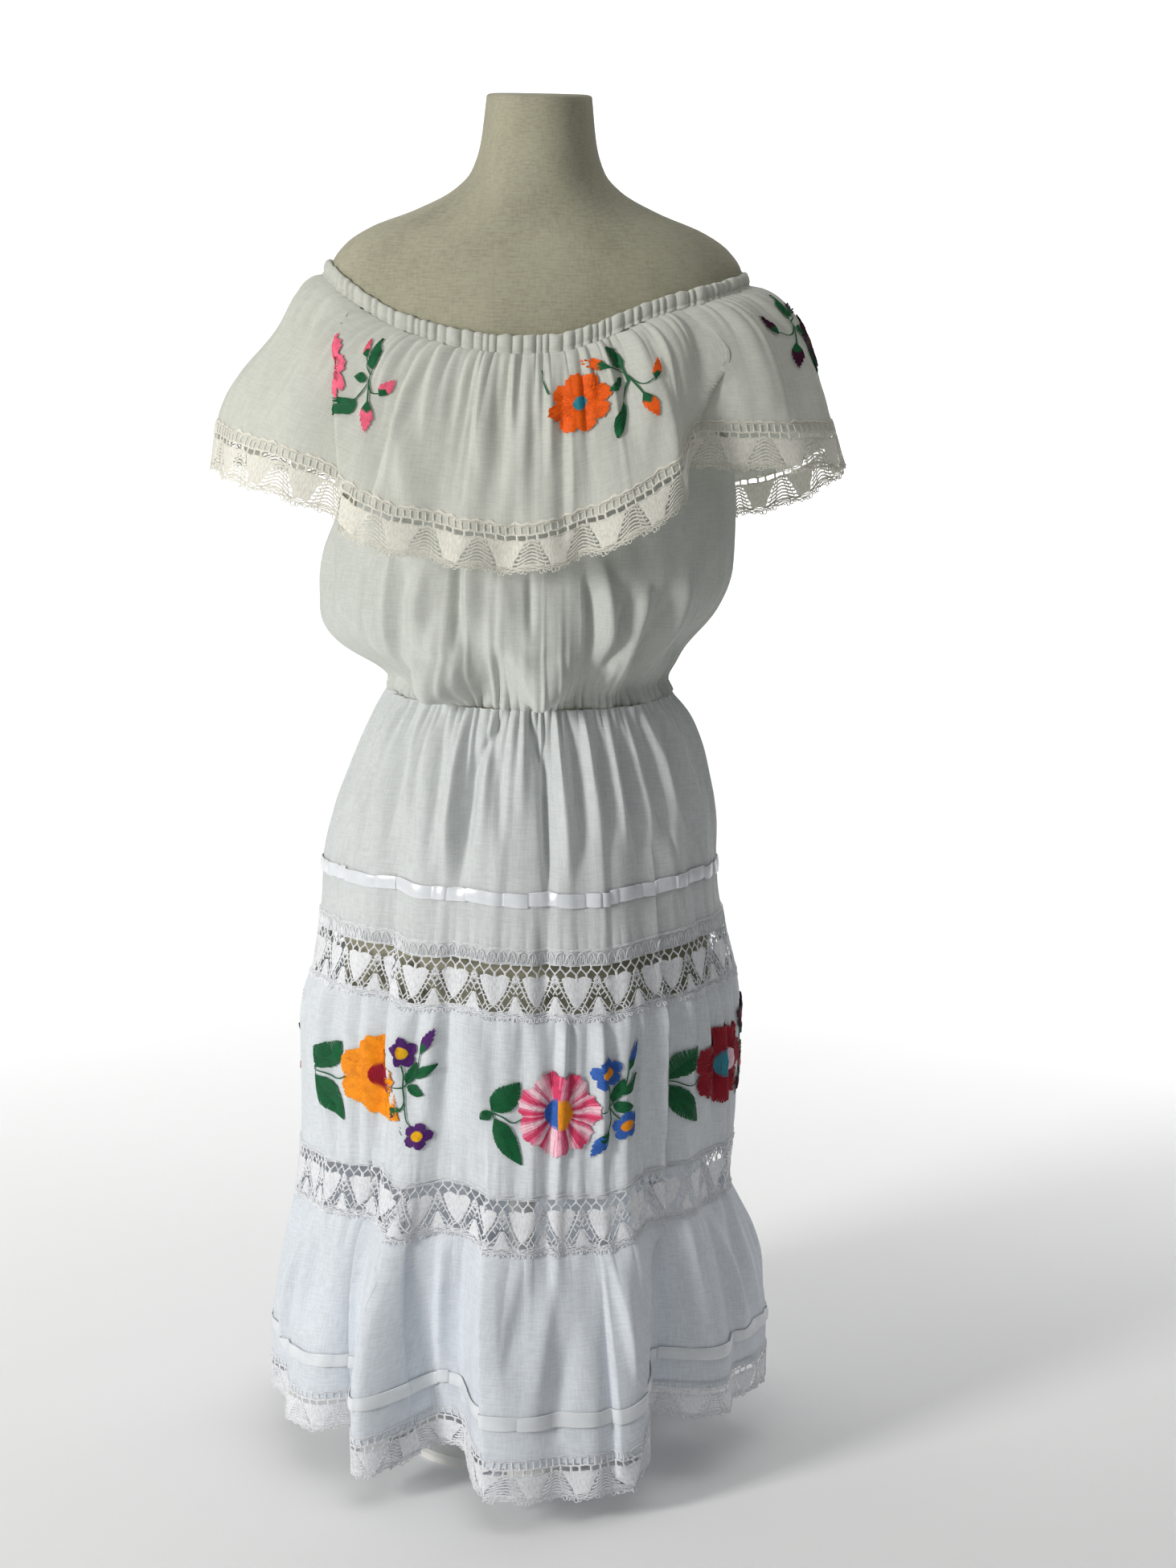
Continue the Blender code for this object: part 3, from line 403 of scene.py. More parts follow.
def gathers(turn, distance, count, seed, height, reach):
    """Rounded ridges with narrow valleys between them, uneven in width, that fade away from a seam."""
    rng = np.random.default_rng(seed)
    widths = rng.uniform(0.55, 1.45, count)
    heights = height * rng.uniform(0.6, 1.25, count) * np.sqrt(widths)
    reaches = reach * rng.lognormal(0, 0.6, count)
    cell, across = cells(np.mod(turn, 1.0), widths)
    distance = np.maximum(distance, 0)
    sharpness = 0.5 + np.clip(distance / reach, 0, 1.5)
    return heights[cell] * np.sin(np.pi * across) ** sharpness * np.exp(-distance / reaches[cell])


def broad_folds(turn, distance, count, seed, height, reach, start):
    """Wider folds that gathers run into. They swell a little below the seam, drift and fade."""
    rng = np.random.default_rng(seed)
    widths = rng.uniform(0.5, 1.6, count)
    heights = height * rng.uniform(0.35, 1.3, count)
    reaches = reach * rng.uniform(0.5, 1.5, count)
    skews = rng.uniform(0.55, 1.7, count)
    distance = np.maximum(distance, 0)
    drift = 0
    for k in (3, 5, 8):
        drift = drift + np.sin(2 * np.pi * k * turn + rng.uniform(*ANY_PHASE)) * rng.uniform(0.4, 1)
    cell, across = cells(np.mod(turn + 0.05 * drift * distance, 1.0), widths)
    softness = 1.0 + part_of(distance / (60 * MM))
    shape = np.sin(np.pi * across ** skews[cell]) ** softness
    return heights[cell] * shape * (1 - np.exp(-distance / start)) * np.exp(-distance / reaches[cell])


def wrinkles(angle, level, seed, height, level_scale):
    """Faint uneven waves of worn cloth."""
    rng = np.random.default_rng(seed)
    waves = 7
    total = 0
    for _ in range(waves):
        turns = rng.integers(7, 34)
        slope = rng.uniform(-1, 1) * level_scale
        total = total + np.sin(np.radians(angle) * turns + level * slope + rng.uniform(*ANY_PHASE)) / waves
    return height * total


def creases(angle, level, rows, edge=0.35):
    """Height of all the creases of a table at each point. Edge is the share of a crease that fades."""
    total = 0
    for start, start_level, end, end_level, left, right, height in zip(*rows.values()):
        share = (level - start_level) / (end_level - start_level)
        apart = wrapped(angle - (start + (end - start) * share))
        width = np.where(apart < 0, left, right) * CREASE_WIDTH
        shape = smooth_step(np.minimum(share, 1 - share) / edge) * bell(apart / width)
        total = total + CREASE_SCALE * height * shape
    return total


def hidden_creases(seed, count, start, end, levels, height):
    """Creases like those that the photo shows, for the sides that it doesn't, in a table's columns."""
    rng = np.random.default_rng(seed)
    top, bottom = levels
    angles = np.linspace(start, end, count) + rng.uniform(-2, 2, count)
    signs = np.where(np.arange(count) % 2 == 0, 1, -1)
    return [
        angles, np.full(count, top), angles + rng.uniform(-6, 6, count),
        top + (bottom - top) * rng.uniform(0.45, 1.0, count),
        rng.uniform(1.2, 3.0, count), rng.uniform(1.2, 3.0, count),
        signs * height * rng.uniform(0.6, 1.2, count),
    ]


def with_hidden(rows, *groups):
    return {name: np.concatenate([rows[name], *[group[n] for group in groups]])
            for n, name in enumerate(rows)}


FLOUNCE_ALL = with_hidden(FLOUNCE_CREASES, hidden_creases(5, 34, 98, 264, (-0.2, 0.9), 2.8))
BODICE_ALL = with_hidden(
    BODICE_CREASES,
    hidden_creases(6, 22, 108, 258, (0.90, 0.735), 3.2),
    hidden_creases(8, 16, 100, 262, (1.12, 0.88), 2.0),
)
SKIRT_ALL = with_hidden(
    SKIRT_CREASES,
    hidden_creases(7, 36, 98, 266, (0.742, 0.55), 3.4),
    hidden_creases(9, 14, 96, 262, (0.47, 0.30), 2.2),
    hidden_creases(10, 22, 92, 268, (0.25, 0.04), 4.6),
)


def pulled(angle, level, rows):
    """How far the cloth is pushed out around each of a table's places."""
    total = 0
    for centre, middle, width, reach, out in zip(*rows.values()):
        total = total + out * bell((level - middle) / reach) * fold_shape(angle, centre, width)
    return total


def tucked(angle, level, tucks):
    """The true angle and the rise of the cloth after all its tucks."""
    turned, rise = angle, 0
    levels, *rows = tucks
    for side, height, edges, overlaps in rows:
        overlap = smooth_interp(level, levels, overlaps)
        centre = smooth_interp(level, levels, edges) + side * 0.6 * overlap
        apart = wrapped(angle - centre) / TUCK_WIDTH
        inside = np.clip(1 - apart**2, 0, None) ** 2
        turned = turned - overlap * np.sin(np.pi * apart) * inside
        away = np.clip(side * apart - 0.35, 0, None) / TUCK_FADE
        height = height * MM * np.clip(overlap / 3.0, 0, 1.2)
        rise = rise + height * smooth_step(0.5 + side * apart / 0.8) * bell(away)
    return turned, rise


def with_tucks(shape, tucks):
    """A surface that has its tucks alone."""
    def surface(angle, level):
        turned, rise = tucked(angle, level, tucks)
        return lifted(shape(turned, level), rise)

    return surface


# Surfaces of the cloth

def torso(angle, height):
    return around(angle, table_radius(angle, TORSO, height), height)


def neck(angle, drop, off_form):
    """Points on the line of the neck elastic, a drop below its top edge and held off the form."""
    height = round_interp(angle, NECK_LINE, "height")
    height = height - drop * (1 - 0.25 * np.sin(np.radians(angle)) ** 2)
    off_form = np.broadcast_to(off_form, height.shape)[..., None]
    return torso(angle, height) + out_of(torso, angle, height, 0.05, 0.002) * off_form


def flounce_shape(angle, share):
    """The solid's own flounce. Share is 0 under the casing, 1 at the lace's lower edge."""
    top = neck(angle, CASING_HEIGHT + SEAM, UNDER_CASING)
    hem_radius = section_radius(angle, **FLOUNCE_HEM_SECTION)
    hem_height = round_interp(angle, FLOUNCE_HEM, "height")
    share = np.clip(share, 0, None)
    flare = share ** (FLARE_AT_SIDES + (FLARE_IN_MIDDLE - FLARE_AT_SIDES) * np.cos(np.radians(angle)) ** 2)
    radius = radius_of(top) + (hem_radius - radius_of(top)) * flare
    radius = radius - folds_of(angle, FLOUNCE_FOLDS) * share**FLOUNCE_FOLDS_POWER
    return around(angle, radius, top[..., 2] + (hem_height - top[..., 2]) * share)


def bodice_shape(angle, height):
    """The solid's own bodice. Above the armholes its level is stretched to the neck line."""
    top = neck(angle, CASING_HEIGHT + SEAM, FORM_CLEARANCE + CLOTH)
    low = BODICE_SECTIONS["height"].max()
    above = part_of((height - low) / (BODICE_TOP - low))
    true_height = np.where(height > low, low + (top[..., 2] - low) * above, height)
    radius = table_radius(angle, BODICE_SECTIONS, np.minimum(height, low))
    ease = radius - radius_of(torso(angle, low))
    on_form = radius_of(torso(angle, true_height))
    loose = on_form + ease * (1 - above) ** BODICE_EASE_POWER + (FORM_CLEARANCE + CLOTH) * above
    radius = np.where(height > low, np.where(above >= 1, radius_of(top), loose), radius)
    fade = bell((height - BODICE_FOLDS_MIDDLE) / BODICE_FOLDS_REACH)
    return around(angle, radius - folds_of(angle, BODICE_FOLDS) * fade, true_height)


def skirt_shape(angle, height):
    """The solid's own skirt from its waist seam to the hem."""
    radius = table_radius(angle, SKIRT_SECTIONS, height)
    levels = np.array([WAIST, FOLDS_BEGIN_BELOW, UPPER_LACE[0], LOWER_LACE[0], HEM])
    down = part_of((UPPER_LACE[0] - height) / (UPPER_LACE[0] - HEM))
    for centre, at_hem, width, power, *depths in zip(*SKIRT_FOLDS.values()):
        shape = fold_shape(angle, centre + (at_hem - centre) * down, width, power)
        radius = radius - smooth_interp(height, levels, [0, *depths]) * shape
    weights = [smooth_interp(height, levels[1:], row) for row in np.eye(len(levels) - 1)[1:]]
    lifts = [round_interp(angle, SKIRT_LIFT, name) for name in ("upper_lace", "lower_lace", "hem")]
    return around(angle, radius, height + sum(weight * lift for weight, lift in zip(weights, lifts)))


neck_turn = turn_of(lambda angle, drop: neck(angle, drop, 0.0), CASING_HEIGHT)
waist_turn = turn_of(skirt_shape, WAIST)
hem_turn = turn_of(skirt_shape, LOWER_LACE[1])
flounce_folded = with_tucks(flounce_shape, FLOUNCE_TUCKS)
skirt_folded = with_tucks(skirt_shape, SKIRT_TUCKS)


def flounce(angle, share):
    """The flounce with its tucks, gathers and creases."""
    turned, rise = tucked(angle, share, FLOUNCE_TUCKS)
    turn, down = neck_turn(angle), share * FLOUNCE_DEPTH
    rise = rise + creases(angle, share, FLOUNCE_ALL)
    rise = rise + gathers(turn, down, *NECK_GATHERS) + broad_folds(turn, down, *NECK_FOLDS)
    rise = rise + wrinkles(angle, share, 3, 0.9 * MM, 9) * part_of(share * 3)
    return lifted(flounce_shape(turned, share), rise + pulled(angle, share, FLOUNCE_PULLS))


def flounce_by_lace(angle, level):
    """The flounce with a level of 1 at the lace's top edge and 2 at its lower edge."""
    top = round_interp(angle, NECK_LINE, "height") - CASING_HEIGHT
    edge = 1 - FLOUNCE_LACE_DEPTH / (top - round_interp(angle, FLOUNCE_HEM, "height"))
    return flounce(angle, np.where(level <= 1, level * edge, edge + (level - 1) * (1 - edge)))


def bodice(angle, height):
    """The bodice with its creases, the gathers above the waist and the pouches that hang over it."""
    turn, above = waist_turn(angle), height - WAIST
    clear_of_seam = part_of(above / (12 * MM))
    rise = creases(angle, height, BODICE_ALL) * part_of((1.10 - height) / 0.1)
    rise = rise + gathers(turn, above, *BODICE_GATHERS) + broad_folds(turn, above, *BODICE_FOLDS_UP)
    rise = rise + wrinkles(angle, height, 4, 1.2 * MM, 60) * part_of((height - 0.74) / 0.04)
    low = bell((height - POUCH_MIDDLE) / POUCH_REACH) * clear_of_seam
    sag = 0
    for centre, left, right, down, out in zip(*BODICE_POUCHES.values()):
        apart = wrapped(angle - centre)
        shape = bell(apart / np.where(apart < 0, left, right)) * low
        rise = rise + out * shape
        sag = sag + down * shape
    nip = bell((height - WAIST_NIP["height"]) / WAIST_NIP["reach"]) * part_of(above / (6 * MM))
    rise = rise - WAIST_NIP["depth"] * nip * (1 - 0.8 * part_of(folds_of(angle, SPARED_BY_NIP)))
    points = lifted(bodice_shape(angle, height), rise + pulled(angle, height, BODICE_PULLS) * clear_of_seam)
    points[..., 2] -= sag
    return points


def skirt(angle, height):
    """The skirt with its tucks, gathers and creases, from the waist to the hem."""
    turned, rise = tucked(angle, height, SKIRT_TUCKS)
    below_hips = part_of((FOLDS_BEGIN_BELOW - height) / 0.06)
    turned, rise = angle + (turned - angle) * below_hips, rise * below_hips
    turn, below_waist, below_lace = waist_turn(angle), WAIST - height, LOWER_LACE[1] - height
    rise = rise + creases(angle, height, SKIRT_ALL, edge=0.42)
    rise = rise + gathers(turn, below_waist, *WAIST_GATHERS) + broad_folds(turn, below_waist, *WAIST_FOLDS)
    rise = rise + broad_folds(turn, UPPER_LACE[1] - height, *BAND_FOLDS) * part_of(1 - below_lace / 0.05)
    hem_part = gathers(hem_turn(angle), below_lace, *HEM_GATHERS)
    hem_part = hem_part + broad_folds(hem_turn(angle), below_lace, *HEM_FOLDS)
    rise = rise + hem_part * part_of(below_lace / (6 * MM))
    for edge in (*UPPER_LACE, LOWER_LACE[0]):
        rise = rise + gathers(turn + edge, np.abs(height - edge), *LACE_PUCKERS)
    rise = rise + wrinkles(angle, height, 12, 1.0 * MM, 40) * part_of(below_waist / 0.05)
    return lifted(skirt_shape(turned, height), rise + pulled(angle, height, SKIRT_PULLS))


# Meshes from arrays

def new_object(name, points, faces, uv=None):
    """A mesh object from an array of points and an array of faces with four corners."""
    mesh = bpy.data.meshes.new(name)
    loops = faces.ravel().astype(np.int32)
    mesh.vertices.add(len(points))
    mesh.vertices.foreach_set("co", np.ascontiguousarray(points, np.float32).ravel())
    mesh.loops.add(len(loops))
    mesh.loops.foreach_set("vertex_index", loops)
    mesh.polygons.add(len(faces))
    mesh.polygons.foreach_set("loop_start", np.arange(0, len(loops), 4, dtype=np.int32))
    mesh.polygons.foreach_set("loop_total", np.full(len(faces), 4, np.int32))
    mesh.update(calc_edges=True)
    if uv is not None:
        layer = mesh.uv_layers.new(name="cloth")
        layer.data.foreach_set("uv", np.ascontiguousarray(uv[loops], np.float32).ravel())
    mesh.shade_smooth()
    thing = bpy.data.objects.new(name, mesh)
    bpy.context.scene.collection.objects.link(thing)
    return thing


def grid_faces(rows, columns, closed=False):
    """Faces of a grid of points, row by row downwards, closed round if asked. They face outwards."""
    across = np.arange(columns if closed else columns - 1)
    row, column = np.meshgrid(np.arange(rows - 1), across, indexing="ij")
    here, after = row * columns + column, row * columns + (column + 1) % columns
    return np.stack([corner.ravel() for corner in (here, here + columns, after + columns, after)], axis=-1)


def repeated(faces, count, points_each):
    """The faces of one drawing, again for each of its copies."""
    return (faces[None] + points_each * np.arange(count)[:, None, None]).reshape(-1, 4)


def grid_object(name, points, closed=True, inside_out=False):
    """A mesh object from a grid of points, with distances along and down the grid as its UVs."""
    faces = grid_faces(*points.shape[:2], closed)
    along, down = lengths_along(points[len(points) // 2]), lengths_along(points[:, 0])
    uv = np.stack(np.broadcast_arrays(along[None, :], down[:, None]), axis=-1).reshape(-1, 2)
    return new_object(name, points.reshape(-1, 3), faces[:, ::-1] if inside_out else faces, uv)


def sheet(name, surface, angles, levels, closed=True):
    """A cloth sheet on a surface. Angles may be one row for all levels, or one row for each."""
    angles = np.broadcast_to(angles, (len(levels), np.shape(angles)[-1]))
    levels = np.broadcast_to(np.asarray(levels, float)[:, None], angles.shape)
    return grid_object(name, surface(angles, levels), closed)


class Flat:
    """Threads and patches drawn flat in millimetres: x to the right, y down, z off the cloth."""

    def __init__(self):
        self.points, self.faces, self.count = [], [], 0

    def grid(self, points):
        """A patch from a grid of points, rows of x, y, z."""
        self.points.append(points.reshape(-1, 3))
        self.faces.append(grid_faces(*points.shape[:2]) + self.count)
        self.count += len(self.points[-1])

    def thread(self, path, radius, lift=0.0):
        """A thread along a path of x, y points, as a raised strip. Radius may be one for each point."""
        along = np.gradient(path, axis=0)
        along /= np.maximum(np.linalg.norm(along, axis=1, keepdims=True), 1e-9)
        side = np.column_stack([-along[:, 1], along[:, 0]]) * np.broadcast_to(radius, len(path))[:, None]
        rows = [np.column_stack([path + side * reach, np.full(len(path), lift + high)])
                for reach, high in ((1, -0.25), (0, 0.5), (-1, -0.25))]
        self.grid(np.stack(rows, axis=1))

    def strand(self, radius, *points, per=1, lift=0.0):
        """A thread through points, each straight stretch cut into a few steps."""
        points = np.array(points, float)
        shares = np.arange(1, per + 1)[:, None] / per
        steps = [here + (there - here) * shares for here, there in zip(points[:-1], points[1:])]
        self.thread(np.concatenate([points[:1], *steps]), radius, lift)

    def bent(self, radius, count, *points, lift=0.0):
        """A thread along a smooth path through a few points."""
        self.thread(curve(points, count), radius, lift)

    def arrays(self):
        return np.concatenate(self.points), np.concatenate(self.faces)


def curve(points, count):
    """A smooth path through a few points."""
    points = np.array(points, float)
    keys = lengths_along(points)
    at = np.linspace(0, keys[-1], count)
    return np.column_stack([smooth_interp(at, keys, points[:, n]) for n in range(points.shape[1])])


# Lace

def solid_motif(flat, outline, rows, columns, rise=0.45):
    """A closely woven solid: outline gives left x, right x and y at each share of its height."""
    shares = np.linspace(0, 1, rows)
    left, right, down = outline(shares)
    across = np.linspace(0, 1, columns)
    x = left[:, None] + (right - left)[:, None] * across
    y = np.broadcast_to(down[:, None] if np.ndim(down) == 1 else down, x.shape)
    dome = part_of(np.sin(np.pi * across) * 3)[None, :] * part_of(np.sin(np.pi * shares) * 3)[:, None]
    ribs = 0.16 * np.cos(np.arange(rows) * np.pi)[:, None]
    flat.grid(np.stack([x, y, (rise + ribs) * dome - 0.1], axis=-1))


def wavy_edge(flat, width, tops, seed, tufts, sway=0.0):
    """The loose threads of a lace's edge, with small loops under them."""
    rng = np.random.default_rng(seed)
    x = np.linspace(0, width, 15)
    for top in tops:
        phase = rng.uniform(*ANY_PHASE)
        turns = rng.integers(2, 6)
        wave = 0.55 * np.sin(2 * np.pi * turns * x / width + phase) + sway * np.cos(2 * np.pi * x / width)
        flat.thread(np.column_stack([x, top + wave]), 0.5, lift=rng.uniform(0, 0.5))
    for n in range(tufts):
        at = width * (n + 0.5) / tufts
        base = tops[-1] + sway * np.cos(2 * np.pi * at / width)
        tip = base + rng.uniform(1.0, 3.6)
        spread = rng.uniform(0.9, 2.0)
        loop = [(at - spread, base), (at - 0.5 * spread, tip), (at + 0.5 * spread, tip), (at + spread, base)]
        flat.bent(0.45, 6, *loop, lift=rng.uniform(0, 0.8))


def waving_thread(flat, width, y, samples, waves, height, radius, lift):
    """A thread right across a repeat that waves a little about its level."""
    x = np.linspace(0, width, samples)
    flat.thread(np.column_stack([x, y + height * np.sin(2 * np.pi * waves * x / width + y)]), radius, lift)


def insertion_heading(flat, width, deep):
    """Two pairs of threads with arches between them where it is deep, over the cloth above the net."""
    for y in (0.4, 1.6, deep - 1.2, deep):
        waving_thread(flat, width, y, 11, 3, 0.3, 0.4, 0.2)
    if deep < 9:
        return
    quarter, foot = width / 4, deep - 1
    for n in range(4):
        left, right, middle = n * quarter, (n + 1) * quarter, (n + 0.5) * quarter
        flat.bent(0.42, 9, (left + 0.4, foot), (left + 1.4, deep * 0.45), (middle, deep * 0.22),
                  (right - 1.4, deep * 0.45), (right - 0.4, foot), lift=0.1)
        for spread in (-2.6, 0, 2.6):
            top = deep * 0.38 + 0.35 * abs(spread)
            flat.strand(0.3, (middle + spread, top), (middle + 0.45 * spread, foot), per=2, lift=0.1)


HEART_HALF = 12.4
HEART_TOP, HEART_POINT = 12.2, 38.0
FAN_TOP, FAN_HEIGHT = 28.0, 15.5


def heart_side(flat, centre, top, side):
    """The ladders and spokes on one side of a heart, and half of the diamond under its point."""
    heart_top, point = top + HEART_TOP, top + HEART_POINT

    def beside(share, off):
        across = HEART_HALF + 0.6 + off - (HEART_HALF - 0.4) * share
        return np.array((centre + side * across, heart_top + (point - heart_top) * share))

    def from_here(here, across, down):
        flat.strand(0.55, here, here + (side * across, down))

    flat.bent([0.8, 0.65, 0.65, 0.7, 0.9], 5, (centre + side * 9.0, top + 7.2),
              (centre + side * 9.6, top + 10.5), (centre + side * 11.8, heart_top + 1))
    strand = ((-0.06, 4.2), (0.3, 4.9), (0.62, 4.6), (0.95, 4.2), (1.12, 3.6))
    flat.bent(0.62, 9, *[beside(*place) for place in strand])
    for n in range(6):
        share = 0.08 + n * 0.17
        flat.strand(0.55, beside(share, -0.6), beside(share + 0.05, 4.6))
    for n, share in enumerate((0.02, 0.2, 0.38, 0.54)):
        here, lower = beside(share, 4.5), beside(share, 4.5) + (0, 0.5)
        from_here(here, 4.4 - 0.5 * n, 3.6)
        flat.strand(0.55, lower, here + (side * (4.0 - 0.5 * n), -3.2))
    diamond = ((0, -0.6), (3.8, 2.6), (4.4, 5.6), (2.6, 8.2))
    flat.bent(0.7, 6, *[(centre + side * across, point + down) for across, down in diamond])
    for share in (0.86, 1.0):
        from_here(beside(share, 4.2), 3.0, 5.2)
    flat.strand(0.6, (centre + side * 4.2, point + 4.6), (centre + side * 9.4, point + 3.8))


def insertion_net(flat, width, top):
    """The open part: slots, large holes, hearts with ladders, diamonds and fans, 50 mm deep."""
    quarter, centre = width / 4, width / 2
    for n in range(4):
        post, between = (n + 0.5) * quarter, n * quarter
        flat.strand([1.1, 0.75, 0.9], (post, top - 0.6), (post, top + 3.8), per=2)
        for side in (-1, 1):
            end = post + side * (quarter / 2 - 0.3)
            flat.strand([0.8, 0.6, 0.75], (post + 0.3 * side, top + 3.2), (end, top + 7.6), per=2)
        flat.strand([0.9, 0.8, 0.8], (between, top + 6.6), (between, top + 9.4), per=2)

    def heart(shares):
        half = HEART_HALF * part_of(1 - shares**1.35) ** 0.8 + 0.8 * (1 - shares) + 0.6
        across = np.linspace(-1, 1, 9)[None, :]
        lobes = -2.6 * (np.abs(np.sin(np.pi * across)) * (across**2 < 1)) * part_of(1 - shares * 4)[:, None]
        down = top + HEART_TOP + (HEART_POINT - HEART_TOP) * shares
        return centre - half, centre + half, down[:, None] + lobes

    def fan_reach(share):
        return 0.8 + 6.4 * share**0.9

    def fan(shares):
        return -fan_reach(shares), fan_reach(shares), top + FAN_TOP + FAN_HEIGHT * shares

    solid_motif(flat, heart, 12, 9)
    flat.strand([1.2, 1.3, 1.9], (centre, top + 7.0), (centre, top + HEART_TOP + 1.5), per=2)
    for side in (-1, 1):
        heart_side(flat, centre, top, side)
    solid_motif(flat, fan, 7, 7, rise=0.35)
    zigzag = ((0, 9.2), (3.4, 12.6), (0, 16.0), (3.2, 19.4), (0, 22.8), (2.0, 26.6))
    for side in (-1, 1):
        flat.strand(0.55, (side * 1.4, top + FAN_TOP), (side * 10.6, top + 41.5), per=3)
        for share in (0.35, 0.6, 0.85):
            down, reach = top + FAN_TOP + FAN_HEIGHT * share, fan_reach(share)
            flat.strand(0.5, (side * reach * 0.8, down), (side * (reach + 2.6), down + 1.2))
        flat.strand(0.62, *[(side * across, top + down) for across, down in zigzag])


def insertion_repeat(width, heading):
    """One repeat of the insertion lace under a heading of a given depth."""
    flat = Flat()
    insertion_heading(flat, width, heading)
    insertion_net(flat, width, heading)
    low = heading + 43.6
    wavy_edge(flat, width, (low, low + 1.3, low + 2.6, low + 3.9), 7, 9)
    return flat.arrays()


def edging_repeat(width, depth):
    """One repeat of the dense edging: a heading, slots, solids and trees of chevrons."""
    flat = Flat()
    low, body_top, tree_top, levels = depth - 4.5, 13.8, 12.6, 8
    for y, thick in ((0.0, 0.5), (1.5, 0.4), (8.4, 0.8), (body_top, 0.6)):
        waving_thread(flat, width, y, 17, 4, 0.35, thick, 0.1)
    for n in range(7):
        post = width * (n + 0.5) / 7
        flat.strand([1.0, 0.5, 1.0], (post, 1.0), (post + 0.5, 8.6), per=2, lift=0.1)
    for n in range(5):
        post = width * (n + 0.5) / 5 + 0.8 * np.sin(n * 2.3)
        flat.strand([1.5, 0.9, 1.4], (post, 8.4), (post + 0.3, 13.6), per=2)

    def body(shares):
        gap = 5.0 + 12.0 * shares**0.9 + 0.6 * np.sin(19 * shares)
        return gap, width - gap, body_top + (low - body_top) * shares

    solid_motif(flat, body, 14, 15, rise=0.25)
    spacing = (low - tree_top) / levels
    for n in range(levels):
        top = tree_top + n * spacing
        reach = 5.0 + 13.5 * (n + 1) / levels
        fall = min(0.42 * reach, low + 1.0 - top)
        arm = np.array([(1.0, 1.0), (0.75, 0.86), (0.5, 0.52), (0.25, 0.16)]) * (reach, fall) + (0, top)
        flat.bent(0.8, 9, *(arm * (-1, 1)), (0, top), *arm[::-1], lift=0.25)
        for share in (-0.8, -0.42, 0.42, 0.8):
            x, y = share * reach, top + 1.05 * abs(share) * fall
            flat.strand(0.5, (x, y), (x + 0.5, y + spacing))
    wavy_edge(flat, width, (low - 0.2, low + 1.2, low + 2.6), 9, 14, sway=-1.2)
    return flat.arrays()


def lay_lace(name, repeat, depth, surface, level_of, line_level, pitch, lift, seed, level_step=0.0015):
    """Lays repeats of a lace all round a surface. level_of turns a distance down into a level."""
    angles, lengths = level_line(surface, line_level, 2881)
    count = int(round(lengths[-1] / MM / pitch))
    width = lengths[-1] / MM / count
    template, faces = repeat(width, depth)
    points = np.broadcast_to(template, (count, *template.shape)).copy()
    phases = np.random.default_rng(seed).uniform(*ANY_PHASE, (count, 1, 4))
    x, y = template[None, :, 0], template[None, :, 1]
    uneven = 0.5 * np.sin(np.pi * part_of(x / width))
    points[..., 0] += uneven * (np.sin(y / 5 + phases[..., 0]) + np.sin(y / 2.2 + phases[..., 1]) * 0.4)
    points[..., 1] += uneven * (np.sin(x / 6 + phases[..., 2]) + np.sin(x / 2.6 + phases[..., 3]) * 0.4)
    points[..., 0] += np.arange(count)[:, None] * width
    points = points.reshape(-1, 3)
    angle = np.interp(np.mod(points[:, 0] * MM, lengths[-1]), lengths, angles)
    level = level_of(angle, points[:, 1] * MM)
    out = out_of(surface, angle, level, 0.12, level_step)
    placed = surface(angle, level) + out * ((points[:, 2] + lift) * MM)[:, None]
    return new_object(name, placed, repeated(faces, count, len(template)), points[:, :2] * MM)


# Embroidery

FLOSS = {
    "green": (14, 92, 52), "pink": (243, 106, 134), "orange": (243, 98, 14), "gold": (250, 150, 20),
    "crimson": (160, 5, 40), "purple": (80, 32, 108), "yellow": (238, 182, 24), "blush": (246, 208, 218),
    "pale_rose": (236, 165, 185), "rose": (228, 116, 150), "deep_rose": (216, 66, 106),
    "blue": (52, 100, 182), "amber": (238, 150, 24), "dark_red": (150, 10, 34), "teal": (44, 140, 160),
    "plum": (66, 12, 44),
}


def run_of(base, tip):
    """A base, the directions along and beside the way to a tip, and its length."""
    base, tip = np.array(base, float), np.array(tip, float)
    length = np.linalg.norm(tip - base)
    run = (tip - base) / length
    return base, run, np.array([-run[1], run[0]]), length


